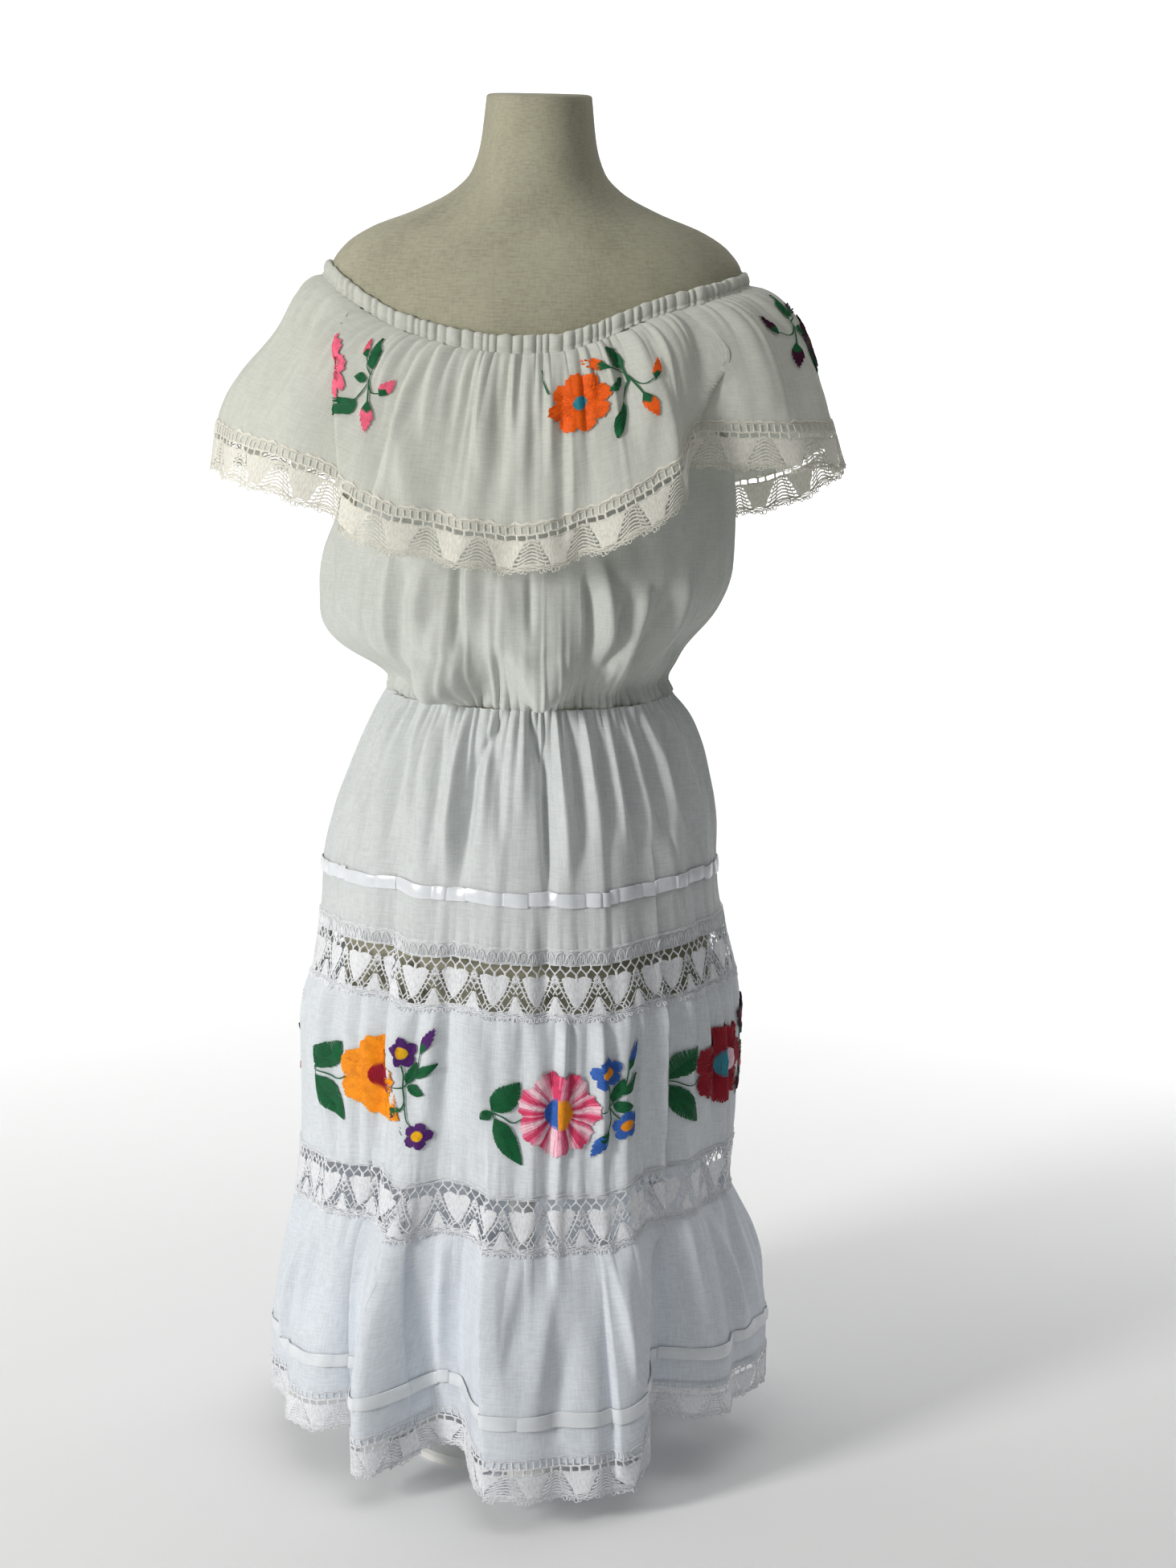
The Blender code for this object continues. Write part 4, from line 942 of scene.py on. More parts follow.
class Stitches:
    """Satin stitches drawn flat in millimetres, each a raised strip in one of the floss colours."""

    def __init__(self, seed):
        self.rows, self.colours = [], []
        self.rng = np.random.default_rng(seed)

    def add(self, starts, ends, start_width, end_width, rise, colour):
        starts, ends = np.atleast_2d(starts).astype(float), np.atleast_2d(ends).astype(float)
        count = len(starts)
        widths = [np.broadcast_to(width, count) for width in (start_width, end_width, rise)]
        self.rows.append(np.column_stack([starts, ends, *widths]))
        names = [colour] * count if isinstance(colour, str) else colour
        self.colours += [list(FLOSS).index(name) for name in names]

    def arrays(self, left_scale):
        """Points, faces and a colour for each face. Each strip has three points along and across."""
        rows = np.concatenate(self.rows)
        for column in (0, 2):
            rows[:, column] *= np.where(rows[:, column] < 0, left_scale, 1.0)
        start, end = rows[:, None, None, 0:2], rows[:, None, None, 2:4]
        shares = np.linspace(0, 1, 3)[None, :, None, None]
        across = np.array([-1.0, 0, 1.0])[None, None, :, None]
        run = (end - start) / np.maximum(np.linalg.norm(end - start, axis=-1, keepdims=True), 1e-9)
        side = np.concatenate([-run[..., 1:], run[..., :1]], axis=-1)
        width = rows[:, None, None, 4:5] * (1 - shares) + rows[:, None, None, 5:6] * shares
        flat = start + (end - start) * shares + side * across * width / 2
        arch = rows[:, None, None, 6:7] * np.sin(np.pi * (0.08 + 0.84 * shares))
        high = arch + 0.42 * (1 - across**2) + 0 * flat[..., :1]
        points = np.concatenate([flat, high], axis=-1).reshape(-1, 3)
        faces = grid_faces(3, 3)[:, ::-1]
        return points, repeated(faces, len(rows), 9), np.repeat(self.colours, len(faces))

    def petals(self, centre, radii, count, hub, colour_of, turn, dip):
        """A round flower: rays of stitches in two lengths, with rounded and slightly notched petals."""
        number = int(2 * np.pi * max(radii) / 1.3)
        angle = turn + 2 * np.pi * np.arange(number) / number
        petal = np.mod((angle - turn) * count / (2 * np.pi), 1)
        outline = 1 - dip * (1 - np.sin(np.pi * petal) ** 0.45) - 0.05 * np.abs(np.cos(3.5 * np.pi * petal))
        outline = outline + self.rng.uniform(-0.02, 0.02, number)
        round_about = np.column_stack([np.cos(angle), np.sin(angle)])
        rim, hub_ray = round_about * radii * outline[:, None], round_about * (hub - 0.6)
        middle = hub_ray + (rim - hub_ray) * (0.52 + self.rng.uniform(-0.1, 0.1, number))[:, None]
        inner, outer = ([colour_of(share, at, ring) for share, at in zip(petal, angle)] for ring in (0, 1))
        near_width = 2 * np.pi * (hub + 1) / number * 1.5
        self.add(centre + hub_ray, centre + middle, near_width, 1.2, 0.35, inner)
        self.add(centre + middle * 0.93, centre + rim, 1.25, 1.45, 0.5, outer)

    def disc(self, centre, radii, left, right):
        """A flower's eye, in upright stitches, with a colour for each half."""
        x = np.arange(-radii[0] + 0.4, radii[0], 0.72)
        half = radii[1] * np.sqrt(np.clip(1 - (x / radii[0]) ** 2, 0.02, 1))
        names = [left if at < 0.02 * radii[0] else right for at in x]
        low, high = np.column_stack([x, -half]), np.column_stack([x, half])
        self.add(low + centre, high + centre, 0.85, 0.85, 0.9, names)

    def leaf(self, base, tip, width):
        """A leaf with slanted stitches on both sides of its vein."""
        base, run, side, length = run_of(base, tip)
        shares = np.linspace(0.0, 0.97, max(int(length / 1.15), 5))
        bend = 0.05 * length * np.sin(np.pi * shares)
        vein = base + run * (shares * length)[:, None] + side * bend[:, None]
        ends_at = part_of(shares + 0.16)
        reach = width * 0.6 * np.sin(np.pi * ends_at**0.85) ** 0.75
        for direction in (-1, 1):
            jitter = self.rng.uniform(0.93, 1.05, len(shares))
            ends = base + run * (ends_at * length)[:, None] + side * (direction * reach * jitter)[:, None]
            self.add(vein, ends + side * bend[:, None] * 0.6, 1.2, 1.25, 0.4, "green")

    def stem(self, *points):
        """Short slanted stitches along a path."""
        path = curve(points, 40)
        steps = lengths_along(path)
        at = np.arange(0, steps[-1], 1.9)
        starts, ends = (np.column_stack([np.interp(far, steps, path[:, n]) for n in (0, 1)])
                        for far in (at, at + 2.5))
        self.add(starts, ends + (0.15, 0.15), 1.15, 1.15, 0.25, "green")

    def bud(self, base, tip, width, colour):
        """A pointed bud in a green cup."""
        base, run, side, length = run_of(base, tip)
        spread = np.linspace(-1, 1, max(int(width / 0.85), 5))
        starts = base + run * (0.26 * length) + side * (spread * width * 0.32)[:, None]
        reach = length * (1 - 0.42 * np.abs(spread) ** 1.4 - 0.06 * (np.arange(len(spread)) % 2))
        ends = base + run * reach[:, None] + side * (spread * width * 0.42)[:, None]
        self.add(starts, ends, 1.05, 0.9, 0.4, colour)
        cup = np.linspace(-1, 1, max(int(width / 1.0), 5))
        reach = length * (0.42 - 0.1 * np.abs(cup))
        ends = base + run * reach[:, None] + side * (cup * width * 0.36)[:, None]
        self.add(np.broadcast_to(base, ends.shape), ends, 0.7, 1.1, 0.6, "green")

    def small_flower(self, centre, radius, colour, eye):
        turn = self.rng.uniform(*ANY_PHASE)
        self.petals(centre, (radius, radius), 5, radius * 0.36, plain(colour), turn, 0.42)
        self.disc(centre, (radius * 0.4, radius * 0.4), eye, eye)


def plain(colour):
    return lambda share, at, ring: colour


def streaked(share, at, ring):
    """Bands of paler and deeper pink that run out along the petals."""
    band = 0.5 + 0.5 * np.sin(2 * np.pi * share * 1.5 + 2.2 * np.sin(2 * at) + 0.3 * ring)
    tone = band * 0.8 + 0.2 * np.sin(37 * at) ** 2
    return ("blush", "pale_rose", "rose", "deep_rose")[int(np.clip(tone * 4.2, 0, 3))]


def skirt_motif(stitches, flower, eye, sprig, sprig_eye, lower):
    """Leaves, a large flower and a sprig, in a row. The origin is the large flower's middle."""
    stitches.leaf((-59.8, -0.7), (-35.5, -28.5), 19)
    stitches.leaf((-57, 6.5), (-31.5, 47.5), 15)
    stitches.leaf((-60.5, 1), (-70, 10), 8)
    stitches.stem((-60, 0.7), (-50, 4), (-41, 9.4), (-31, 5))
    stitches.stem((-60, 0.7), (-58, 4), (-57, 7))
    stitches.petals((0, 0), (38, 41), 7, 12, flower, turn=0.35, dip=0.2)
    stitches.disc((0, 0), (13.6, 14.6), *eye)
    fork = (46, -3.6)
    stitches.stem((37, -1), (42, -2.5), fork)
    stitches.stem(fork, (46.5, -14), (45, -24))
    stitches.stem(fork, (55, -14), (60, -24), (62.6, -38))
    stitches.stem(fork, (50, lower - 15), (56, lower - 8))
    stitches.stem(fork, (47.5, 8), (44.5, 20))
    stitches.small_flower((43.5, -36), 15.0, sprig, sprig_eye)
    stitches.small_flower((62, lower), 13.5, sprig, sprig_eye)
    stitches.bud((62.6, -35), (76, -60), 12, sprig)
    stitches.bud((44.5, 17), (29.5, 42), 12, sprig)
    for base, tip in (((49, -8), (58.5, -28)), ((57, -13.5), (77.5, -25.5)), ((50, -5), (68, 3))):
        stitches.leaf(base, tip, 8.5)


def round_flower(stitches, middle, flower, eye):
    """The flounce's large flower."""
    stitches.petals(middle, (28.5, 31), 8, 5.5, flower, turn=0.2, dip=0.28)
    stitches.disc(middle, (7.4, 7.4), eye, eye)


def flounce_sprig(stitches, sprig, across=1.0, droop=0.0):
    """The sprig beside a large flower, whose middle is the origin."""

    def at(x, y):
        return (x * across, y + droop * x)

    stitches.stem(at(46, -34), at(46.5, -26), at(47, -17))
    stitches.stem(at(46, -26), at(56, -14), at(63, -19))
    stitches.stem(at(46, -26), at(51, -14), at(54, -3))
    stitches.stem(at(47, -18), at(43, -6), at(38, 7))
    stitches.stem(at(29, -35), at(38, -31), at(46, -27))
    stitches.bud(at(30, -35), at(4, -42), 13, sprig)
    stitches.bud(at(64, -17), at(73, -40), 12, sprig)
    stitches.bud(at(54, -5), at(61, 24), 12, sprig)
    stitches.leaf(at(46, -33), at(30, -55), 11)
    stitches.leaf(at(43, -21), at(26, -11), 9)
    stitches.leaf(at(39, 4), at(28, 39), 10)


def lay_embroidery(name, placed, surface, folded, level_of, materials, level_step):
    """Lays each drawing at its anchor, an angle and a level, and joins them all in one mesh."""
    lift = 1.5
    points, faces, colours, count = [], [], [], 0
    for angle, level, stitches, left_scale, lean in placed:
        flat, motif_faces, motif_colours = stitches.arrays(left_scale)
        line_angles, lengths = level_line(folded, level, 5761)
        start = np.interp(angle, line_angles, lengths)
        at = np.interp(np.mod(start + flat[:, 0] * MM, lengths[-1]), lengths, line_angles) + lean * flat[:, 1]
        levels = level_of(level, flat[:, 1] * MM)
        out = out_of(surface, at, levels, 0.25, level_step)
        points.append(surface(at, levels) + out * ((flat[:, 2] + lift) * MM)[:, None])
        faces.append(motif_faces + count)
        colours.append(motif_colours)
        count += len(flat)
    thing = new_object(name, np.concatenate(points), np.concatenate(faces))
    for material in materials:
        thing.data.materials.append(material)
    thing.data.polygons.foreach_set("material_index", np.concatenate(colours).astype(np.int32))
    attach(thing, "root")
    return thing


def make_skirt_embroidery(materials):
    """A motif for each row: angle, height, flower, eye, sprig, its eye, scale of what is left of the middle
    and how low the sprig's lower flower is."""
    looks = (
        (-45.5, 0.376, plain("gold"), ("crimson", "purple"), "purple", "yellow", 1.3, 42),
        (12, 0.366, streaked, ("blue", "amber"), "blue", "amber", 1.0, 18),
        (73.5, 0.374, plain("dark_red"), ("teal", "blush"), "plum", "pink", 1.4, 18),
        (116, 0.370, plain("orange"), ("purple", "yellow"), "purple", "yellow", 1.0, 18),
        (160, 0.368, streaked, ("teal", "amber"), "blue", "amber", 1.0, 18),
        (-157, 0.370, plain("crimson"), ("blue", "blush"), "deep_rose", "yellow", 1.0, 18),
        (-108, 0.372, plain("purple"), ("yellow", "orange"), "orange", "yellow", 1.0, 18),
    )
    placed = []
    for seed, (angle, height, flower, eye, sprig, sprig_eye, left_scale, lower) in enumerate(looks, 70):
        stitches = Stitches(seed)
        skirt_motif(stitches, flower, eye, sprig, sprig_eye, lower)
        placed.append((angle, height, stitches, left_scale, 0))
    return lay_embroidery("band_embroidery", placed, skirt, skirt_folded, lambda level, down: level - down,
                          materials, 0.002)


def make_flounce_embroidery(materials):
    """A motif for each row: angle, share, colour, eye, and how far its sprig reaches across and droops.
    The first one's flower is half hidden in a fold, and leans along it."""
    looks = (
        (-59.8, 0.258, "pink", "pink", 0.80, 0.40), (19.5, 0.255, "orange", "teal", 1, 0.3),
        (91, 0.300, "plum", "yellow", -1, 0), (150, 0.300, "blue", "amber", 1, 0),
        (-160, 0.300, "deep_rose", "yellow", -1, 0), (-116, 0.300, "gold", "crimson", 1, 0),
    )
    half_hidden = Stitches(89)
    round_flower(half_hidden, (-17, 0), plain("pink"), "pink")
    placed = [(-60.2, 0.242, half_hidden, 0.12, 0.11)]
    for seed, (angle, share, colour, eye, across, droop) in enumerate(looks, 90):
        stitches = Stitches(seed)
        flounce_sprig(stitches, colour, across, droop)
        if len(placed) > 1:
            round_flower(stitches, (0, 0), plain(colour), eye)
            stitches.stem((-34 * across, -37), (-31 * across, -27), (-27 * across, -14))
        placed.append((angle, share, stitches, 1.0, 0))
    return lay_embroidery("flounce_embroidery", placed, flounce, flounce_folded,
                          lambda level, down: level + down / FLOUNCE_DEPTH, materials, -0.01)


# Materials

class Look:
    """A material and the nodes that lead to its shader."""

    def __init__(self, name, place="UV"):
        self.material = bpy.data.materials.new(name)
        self.material.use_nodes = True
        self.tree = self.material.node_tree
        self.shader = self.tree.nodes["Principled BSDF"]
        self.place = self.node("ShaderNodeUVMap" if place == "UV" else "ShaderNodeTexCoord").outputs[place]

    def node(self, kind, inputs=(), **settings):
        """A new node. Each input, by its name or number, is linked to a socket or set to a value."""
        made = self.tree.nodes.new(kind)
        for name, value in settings.items():
            setattr(made, name, value)
        self.give(made, inputs)
        return made

    def give(self, node, inputs):
        for name, value in dict(inputs).items():
            if isinstance(value, bpy.types.NodeSocket):
                self.tree.links.new(value, node.inputs[name])
            else:
                node.inputs[name].default_value = value

    def noise(self, scale, detail=3.0, roughness=0.6):
        """Noise over coordinates that are scaled by a vector first."""
        mapping = self.node("ShaderNodeMapping", {"Scale": scale, "Vector": self.place})
        values = {"Vector": mapping.outputs["Vector"], "Scale": 1.0, "Detail": detail, "Roughness": roughness}
        return self.node("ShaderNodeTexNoise", values).outputs["Fac"]

    def sum_of(self, first, second, shares=None):
        """Two values added, each times its share where there are shares."""
        if shares:
            pairs = [{0: value, 1: share} for value, share in zip((first, second), shares)]
            first, second = (self.node("ShaderNodeMath", pair, operation="MULTIPLY").outputs[0]
                             for pair in pairs)
        return self.node("ShaderNodeMath", {0: first, 1: second}, operation="ADD").outputs[0]

    def ramp(self, factor, *stops):
        """A colour ramp with stops of (place, colour)."""
        made = self.node("ShaderNodeValToRGB", {"Fac": factor})
        elements = made.color_ramp.elements
        for element, (place, colour) in zip(elements, (stops[0], stops[-1])):
            element.position, element.color = place, (*colour, 1)
        for place, colour in stops[1:-1]:
            elements.new(place).color = (*colour, 1)
        return made.outputs["Color"]

    def shades(self, factor, colour, *stops):
        """Darker and lighter shades of one colour, with stops of (place, factor)."""
        shaded = [(place, [min(1.0, part * shade) for part in colour]) for place, shade in stops]
        return self.ramp(factor, *shaded)

    def finish(self, colour, bump=None, **values):
        """Gives the shader its colour, its bumps of (height, strength, distance) and its other values."""
        self.give(self.shader, {"Base Color": colour})
        self.give(self.shader, {name.replace("_", " "): value for name, value in values.items()})
        if bump:
            made = self.node("ShaderNodeBump", dict(zip(("Height", "Strength", "Distance"), bump)))
            self.give(self.shader, {"Normal": made.outputs["Normal"]})
        return self.material

    def see_through(self, colour, share, bumped=False):
        """Lets a share of the light through the cloth."""
        through = self.node("ShaderNodeBsdfTranslucent", {"Color": (*colour, 1)})
        if bumped:
            self.give(through, {"Normal": self.shader.inputs["Normal"].links[0].from_socket})
        parts = {"Fac": share, 1: self.shader.outputs["BSDF"], 2: through.outputs["BSDF"]}
        mix = self.node("ShaderNodeMixShader", parts)
        self.give(self.tree.nodes["Material Output"], {"Surface": mix.outputs["Shader"]})


def batiste(name, colour, share):
    """Thin plain-woven cotton with slubs in both directions, slightly see-through."""
    look = Look(name)
    slubs = look.sum_of(look.noise((75, 560, 1)), look.noise((640, 60, 1)))
    tone = look.sum_of(slubs, look.noise((14, 14, 1), detail=2), (0.42, 0.16))
    look.finish(look.shades(tone, colour, (0.42, 0.89), (0.5, 0.97), (0.58, 1.04)), (slubs, 0.35, 0.00035),
                Roughness=0.88, Sheen_Weight=0.12, Sheen_Roughness=0.5, Specular_IOR_Level=0.25)
    look.see_through(colour, share, bumped=True)
    return look.material


def lace_thread(name, colour):
    """Matt twisted cotton thread."""
    look = Look(name)
    twist = look.noise((640, 230, 1), roughness=0.7)
    tone = look.sum_of(twist, look.noise((18, 18, 1), detail=2), (0.8, 0.2))
    look.finish(look.shades(tone, colour, (0.40, 0.82), (0.5, 0.97), (0.58, 1.06)), (twist, 0.4, 0.0007),
                Roughness=0.9, Sheen_Weight=0.1, Specular_IOR_Level=0.2)
    look.see_through(colour, 0.15)
    return look.material


def satin(name, colour):
    """Polyester satin with fine lines along the ribbon."""
    look = Look(name)
    shade = look.shades(look.noise((35, 60, 1), detail=2), colour, (0.3, 0.93), (0.7, 1.04))
    return look.finish(shade, (look.noise((40, 2600, 1)), 0.15, 0.0002), Roughness=0.26, Anisotropic=0.5,
                       Sheen_Weight=0.1, Specular_IOR_Level=0.65)


def linen(name, colour):
    """Coarse greige linen stretched over the form, with horizontal slubs and darker flecks."""
    look = Look(name)
    weave = look.sum_of(look.noise((90, 560, 1), detail=4), look.noise((520, 110, 1)), (0.62, 0.38))
    tone = look.sum_of(weave, look.noise((9, 9, 1)), (0.6, 0.4))
    flecks = look.noise((160, 500, 1), detail=5, roughness=0.75)
    fleck_tone = look.ramp(flecks, (0.30, (0.62, 0.58, 0.5)), (0.40, (1, 1, 1)), (1.0, (1, 1, 1)))
    shade = look.shades(tone, colour, (0.40, 0.80), (0.5, 1.0), (0.60, 1.16))
    mix = look.node("ShaderNodeMix", data_type="RGBA", blend_type="MULTIPLY")
    look.give(mix, {"Factor": 0.6, 6: shade, 7: fleck_tone})
    return look.finish(mix.outputs[2], (weave, 0.6, 0.0007), Roughness=0.92, Sheen_Weight=0.15,
                       Specular_IOR_Level=0.2)


def paint(name, colour):
    """Satin paint on metal with slight unevenness."""
    look = Look(name, "Object")
    clouds = look.noise((25, 25, 25), detail=5)
    shade = look.shades(clouds, colour, (0.3, 0.94), (0.7, 1.03))
    return look.finish(shade, (clouds, 0.08, 0.0005), Roughness=0.42)


def floss(name, screen_colour):
    """Glossy cotton floss, of a screen colour that is turned into linear light."""
    values = np.array(screen_colour) / 255
    colour = tuple(np.where(values > 0.04045, ((values + 0.055) / 1.055) ** 2.4, values / 12.92))
    look = Look(name, "Object")
    strands = look.noise((900, 900, 900), detail=2)
    tone = look.sum_of(strands, look.noise((140, 140, 140), detail=2), (0.5, 0.5))
    shade = look.shades(tone, colour, (0.36, 0.72), (0.5, 1.0), (0.64, 1.18))
    return look.finish(shade, (strands, 0.25, 0.0002), Roughness=0.6, Specular_IOR_Level=0.25)


# The cloth is ivory at the neck and over the bodice, and white below. Each tier's tint and brightness below
# are painted light: warmer at the top and cooler and bluer towards the hem, in place of warm light from above
# and cool light from below.
IVORY_PAINTED_WARM_LIGHT = (0.735, 0.745, 0.675)
BODICE_IVORY_PAINTED_LIGHT = (0.775, 0.80, 0.76)
UPPER_WHITE_PAINTED_LIGHT = (0.79, 0.825, 0.825)
BAND_WHITE_PAINTED_COOL_LIGHT = (0.79, 0.83, 0.86)
HEM_WHITE_PAINTED_COOL_LIGHT = (0.79, 0.835, 0.89)
CREAM = (0.86, 0.84, 0.75)
LACE_WHITE = (0.91, 0.92, 0.95)
SATIN_WHITE = (0.77, 0.80, 0.83)
LINEN = (0.375, 0.358, 0.262)
PAINT = (0.80, 0.79, 0.76)


# Pieces

def dressed(thing, material, *nodes):
    """Gives a piece its material, and puts it in place of the CAD nodes that it stands for."""
    thing.data.materials.append(material)
    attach(thing, "root")
    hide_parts(*nodes)
    return thing


def halves(name):
    return f"{name}_back", f"{name}_front"


def make_torso():
    """The form's linen cover, closed at the neck's top and turned in under its lower edge."""
    heights = np.concatenate([np.linspace(1.262, 1.06, 52), np.linspace(1.05, 0.372, 34)])
    points = torso(ring_angles(128)[None, :], heights[:, None])
    top, low = points[0], points[-1]
    caps = [top * (share, share, 1) + (0, 0, rise * MM)
            for share, rise in ((0.02, 2.1), (0.4, 2.1), (0.90, 2.0), (0.97, 1.2))]
    feet = [low * (share, share, 1) - (0, 0, drop * MM)
            for share, drop in ((0.985, 3.0), (0.95, 6.5), (0.90, 8.0), (0.4, 8.0), (0.09, 8.0))]
    return grid_object("form_torso_linen", np.array([*caps, *points, *feet]))


def make_casing():
    """The gathered tube that holds the neck elastic, ruched into uneven ridges."""
    angles = ring_angles(96 * 12)
    profile = table(
        "drop off ridge",
        (13.6, 1.0, 0.0), (8, 0.9, 0.0), (3, 0.9, 0.1), (0.3, 1.1, 0.4), (-0.6, 1.6, 1.4),
        (-0.4, 2.1, 2.4), (1.2, 2.5, 3.2), (3.6, 2.8, 3.5), (6.6, 2.9, 3.5), (9.2, 2.9, 3.3),
        (11.0, 2.8, 2.9), (12.2, 2.6, 2.6), (13.2, 2.8, 2.8), (16.0, 3.3, 3.3),
    )
    turn = neck_turn(angles)
    rng = np.random.default_rng(4)
    wobble = sum(np.sin(2 * np.pi * turn * k + rng.uniform(*ANY_PHASE)) for k in (31, 53, 77)) * 0.3
    count, seed, _, reach = NECK_GATHERS
    bulge = gathers(turn, 0.0, count, seed, 1.15, reach)
    rows = []
    for drop, off, ridge in zip(*profile.values()):
        height = (drop - (1.1 * bulge - wobble) * (drop < 3)) * MM
        rows.append(neck(angles, height, FORM_CLEARANCE + (off - 0.9 + ridge * bulge) * MM))
    return grid_object("neck_casing_cloth", np.array(rows), inside_out=True)


def make_bodice(half):
    """A half of the bodice, between the edges of its armholes."""
    levels = [np.linspace(BODICE_TOP, 0.90, 20), np.linspace(0.893, 0.79, 17), np.linspace(0.786, WAIST, 25)]
    levels = np.concatenate(levels)
    reach = smooth_interp(levels, ARMHOLE["height"], ARMHOLE["edge_angle"])[:, None]
    start, end = (-reach, reach) if half == "back" else (180 - reach, 180 + reach)
    angles = start + (end - start) * np.linspace(0, 1, 460)
    return sheet(f"bodice_{half}_cloth", bodice, angles, levels, closed=False)


def ribbon(name, top, bottom, surface, seed, columns=1100, breaks=44):
    """A satin ribbon sewn on the skirt. At each small pleat it kinks and steps a little."""
    rng = np.random.default_rng(seed)
    angles = ring_angles(columns)
    cell, across = cells((angles + 180) / TURN, rng.uniform(0.3, 1.7, breaks))
    step = rng.uniform(-0.9, 0.9, breaks)[cell] + rng.uniform(-1.3, 1.3, breaks)[cell] * across
    puff = np.sin(np.pi * across) ** 0.5
    lean = rng.uniform(-0.7, 0.7, breaks)[cell]
    turned = rng.uniform(-2.2, 2.2, breaks)[cell] * (across - 0.5) + 1.2
    shares = np.array([0, 0.0, 0.06, 0.3, 0.5, 0.7, 0.94, 1.0, 1.0])[:, None]
    lifts = np.array([0.1, 0.8, 1.0, 1.15, 1.2, 1.15, 1.0, 0.8, 0.1])[:, None]
    spread = 0.5 + (shares - 0.5) * (1 - 0.10 * (1 - puff))
    levels = top + (bottom - top) * spread + step * MM
    angles = np.broadcast_to(angles, levels.shape)
    out = out_of(surface, angles, levels, 0.15, 0.0015)
    slack = 0.3 * puff * np.sin(np.pi * shares) + lean * (shares - 0.5) * puff + turned
    off_cloth = (lifts * (0.35 + 0.65 * puff) + slack) * MM
    return grid_object(name, surface(angles, levels) + out * off_cloth[..., None])


# Stage

CAMERA_PLACE = Vector((0.055, -3.05, 1.306))
CAMERA_PITCH = np.radians(12.4)
CAMERA_ROLL = np.radians(1.1)
CAMERA_LENS = 77.0
SENSOR = 36.0
KEY_COLOUR = (1.0, 0.99, 0.965)
SURROUND_COLOUR = (0.96, 0.98, 1.0, 1)
SURROUND_STRENGTH = 0.085


def make_camera():
    """The photo's view: level with the shoulders, looking down 12 degrees, and turned 1 degree."""
    forward = Vector((0, np.cos(CAMERA_PITCH), -np.sin(CAMERA_PITCH)))
    level_right = Vector((1, 0, 0))
    level_up = level_right.cross(forward)
    right = level_right * np.cos(CAMERA_ROLL) + level_up * np.sin(CAMERA_ROLL)
    up = level_up * np.cos(CAMERA_ROLL) - level_right * np.sin(CAMERA_ROLL)
    data = bpy.data.cameras.new("camera")
    data.sensor_fit = "VERTICAL"
    data.sensor_height = SENSOR
    data.lens = CAMERA_LENS
    camera = bpy.data.objects.new("camera", data)
    rotation = Matrix((right, up, -forward)).transposed()
    camera.matrix_world = Matrix.Translation(CAMERA_PLACE) @ rotation.to_4x4()
    bpy.context.scene.collection.objects.link(camera)
    bpy.context.scene.camera = camera


def area_light(name, place, target, size, power, colour=(1, 1, 1)):
    data = bpy.data.lights.new(name, "AREA")
    data.shape = "RECTANGLE"
    data.size, data.size_y = size
    data.energy = power
    data.color = colour
    light = bpy.data.objects.new(name, data)
    light.location = place
    light.rotation_euler = (Vector(target) - Vector(place)).to_track_quat("-Z", "Y").to_euler()
    bpy.context.scene.collection.objects.link(light)


def make_stage():
    """A pale floor that curves up far behind, soft lights and a bright surround."""
    depth = np.array([-6.0, 5.1, 5.5, 5.75, 5.85, 5.9, 5.9])
    rise = np.array([0.0, 0.0, 0.06, 0.22, 0.42, 0.7, 6.0])
    points = np.array([[(x, y, z) for x in (-7.0, 7.0)] for y, z in zip(depth, rise)])
    floor = new_object("floor", points.reshape(-1, 3), grid_faces(len(depth), 2)[:, ::-1])
    look = Look("floor_white", "Object")
    white = look.shades(look.noise((1.5, 1.5, 1.5), detail=2), (1, 1, 1), (0.3, 0.88), (0.7, 0.90))
    floor.data.materials.append(look.finish(white, Roughness=0.9))
    area_light("key", (-2.65, -2.15, 1.5), (0, 0, 0.75), (0.7, 1.0), 84, KEY_COLOUR)
    area_light("top", (0.2, -0.3, 4.2), (0, 0, 0), (4.5, 4.5), 66)
    for name, side, power in (("left", -1, 38), ("right", 1, 44)):
        area_light("floor_" + name, (1.9 * side, 1.9, 1.9), (1.2 * side, 3.4, 0.0), (1.6, 2.2), 1.2 * power)
        area_light("wall_" + name, (1.9 * side, 4.1, 1.9), (1.2 * side, 5.9, 0.7), (1.6, 2.2), power)
    world = bpy.data.worlds.new("surround")
    bpy.context.scene.world = world
    world.use_nodes = True
    background = world.node_tree.nodes["Background"]
    background.inputs["Color"].default_value = SURROUND_COLOUR
    background.inputs["Strength"].default_value = SURROUND_STRENGTH
    bpy.context.scene.view_settings.view_transform = "Standard"


def down_from(top):
    return lambda angle, depth: top - depth


def make_form(nodes):
    """Paints the pole and the base, which stay as solids, and covers the torso with linen."""
    base_paint = paint("base_paint", PAINT)
    for name in ("form_pole", "form_base"):
        nodes[name].data.materials.clear()
        nodes[name].data.materials.append(base_paint)
    dressed(make_torso(), linen("linen_cover", LINEN), "form_torso")


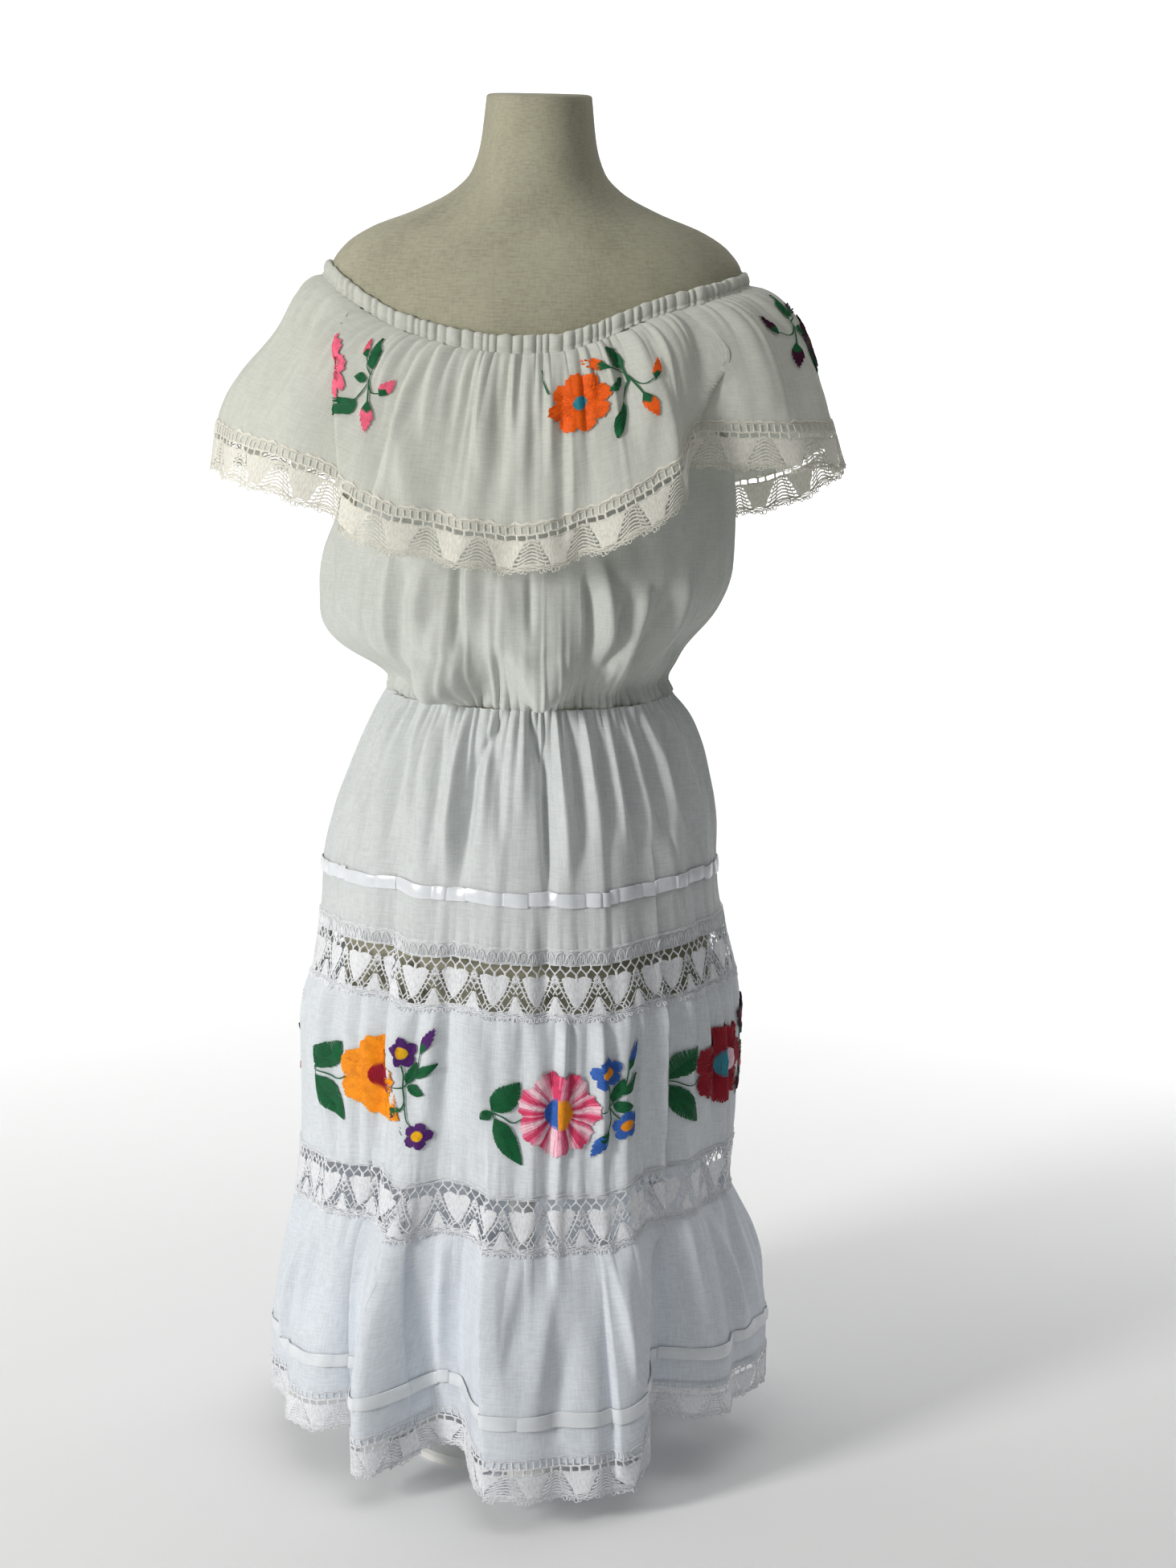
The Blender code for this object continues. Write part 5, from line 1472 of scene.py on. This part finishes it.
def make_tiers():
    """The skirt's three tiers of cloth. A row is a tier's name, its cloth, its columns and its levels."""
    upper_levels = [np.linspace(WAIST, 0.69, 14), np.linspace(0.685, UPPER_LACE[0] - 0.013, 36)]
    # The three tiers are one white cloth. Each tier's tint is painted light, cooler and bluer lower down.
    tiers = (
        ("skirt_upper", batiste("upper_batiste_cloth", UPPER_WHITE_PAINTED_LIGHT, 0.22), 1200, np.concatenate(upper_levels)),
        ("band", batiste("band_batiste_cloth", BAND_WHITE_PAINTED_COOL_LIGHT, 0.14), 1080,
         np.linspace(UPPER_LACE[1] + 0.003, LOWER_LACE[0] - 0.006, 34)),
        ("hem_flounce", batiste("hem_batiste_cloth", HEM_WHITE_PAINTED_COOL_LIGHT, 0.14), 1320,
         np.linspace(LOWER_LACE[1] + 0.004, HEM_LACE_TOP - 0.007, 40)),
    )
    return [dressed(sheet(f"{name}_cloth", skirt, ring_angles(columns), levels), cloth, *halves(name))
            for name, cloth, columns, levels in tiers]


def make_ribbons():
    """The skirt's ribbons. A row is a ribbon's name, its edges, its seed and its columns."""
    shiny = satin("ribbon_satin", SATIN_WHITE)
    ribbons = (("upper_ribbon", UPPER_RIBBON, 51, 1100), ("hem_ribbon", HEM_RIBBON, 52, 1400))
    return [dressed(ribbon(f"{name}_satin", *edges, skirt, seed, columns), shiny, *halves(name))
            for name, edges, seed, columns in ribbons]


def make_skirt_laces():
    """The skirt's laces. A row is a lace's name, its repeat, the depth of its heading or of the whole lace,
    its top, the level where its length is measured, its pitch, its lift and its seed."""
    thread = lace_thread("white_bobbin_lace", LACE_WHITE)
    laces = (
        ("lace_upper", insertion_repeat, 15, UPPER_LACE[0] + 0.002, np.mean(UPPER_LACE), 38.0, 1.2, 61),
        ("lace_lower", insertion_repeat, 5, LOWER_LACE[0] - 0.002, np.mean(LOWER_LACE), 38.0, 1.2, 62),
        ("hem_lace", edging_repeat, 38, HEM_LACE_TOP, HEM_LACE_TOP - 0.012, 46.0, 0.9, 63),
    )
    pieces = []
    for name, repeat, depth, top, *rest in laces:
        lace = lay_lace(f"{name}_thread", repeat, depth, skirt, down_from(top), *rest)
        pieces.append(dressed(lace, thread, *halves(name)))
    return pieces


def make_flounce_lace():
    """The flounce's crochet edging, from a level of 1 to a little past 2."""
    lace = lay_lace("flounce_lace_thread", edging_repeat, 41, flounce_by_lace,
                    lambda angle, depth: 1 + depth / FLOUNCE_LACE_DEPTH, 1.4, 48.0, 0.9, 64, level_step=-0.03)
    return dressed(lace, lace_thread("cream_crochet", CREAM), *halves("flounce_lace"))


def make_flounce_cloth(cloth):
    levels = np.concatenate([np.linspace(0.0, 0.3, 22), np.linspace(0.32, 1.19, 32)])
    return dressed(sheet("flounce_cloth", flounce_by_lace, ring_angles(1280), levels), cloth,
                   *halves("flounce"))


def main():
    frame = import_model()
    make_camera()
    make_stage()
    make_form(frame["nodes"])

    # The flounce's and the bodice's ivory are one cloth, in two tints of painted light.
    ivory_painted_warm_light = batiste("ivory_batiste_cloth", IVORY_PAINTED_WARM_LIGHT, 0.26)
    bodice_ivory_painted_light = batiste("bodice_batiste_cloth", BODICE_IVORY_PAINTED_LIGHT, 0.28)
    casing = dressed(make_casing(), ivory_painted_warm_light, "neck_casing")
    flounce_cloth = make_flounce_cloth(ivory_painted_warm_light)
    bodices = [dressed(make_bodice(half), bodice_ivory_painted_light, f"bodice_{half}") for half in ("back", "front")]
    skirt_upper, band, hem_cloth = make_tiers()
    upper_ribbon, hem_ribbon = make_ribbons()
    upper_lace, lower_lace, hem_lace = make_skirt_laces()
    flounce_lace = make_flounce_lace()
    flosses = [floss(f"floss_{name}", colour) for name, colour in FLOSS.items()]
    band_embroidery = make_skirt_embroidery(flosses)
    flounce_embroidery = make_flounce_embroidery(flosses)


main()
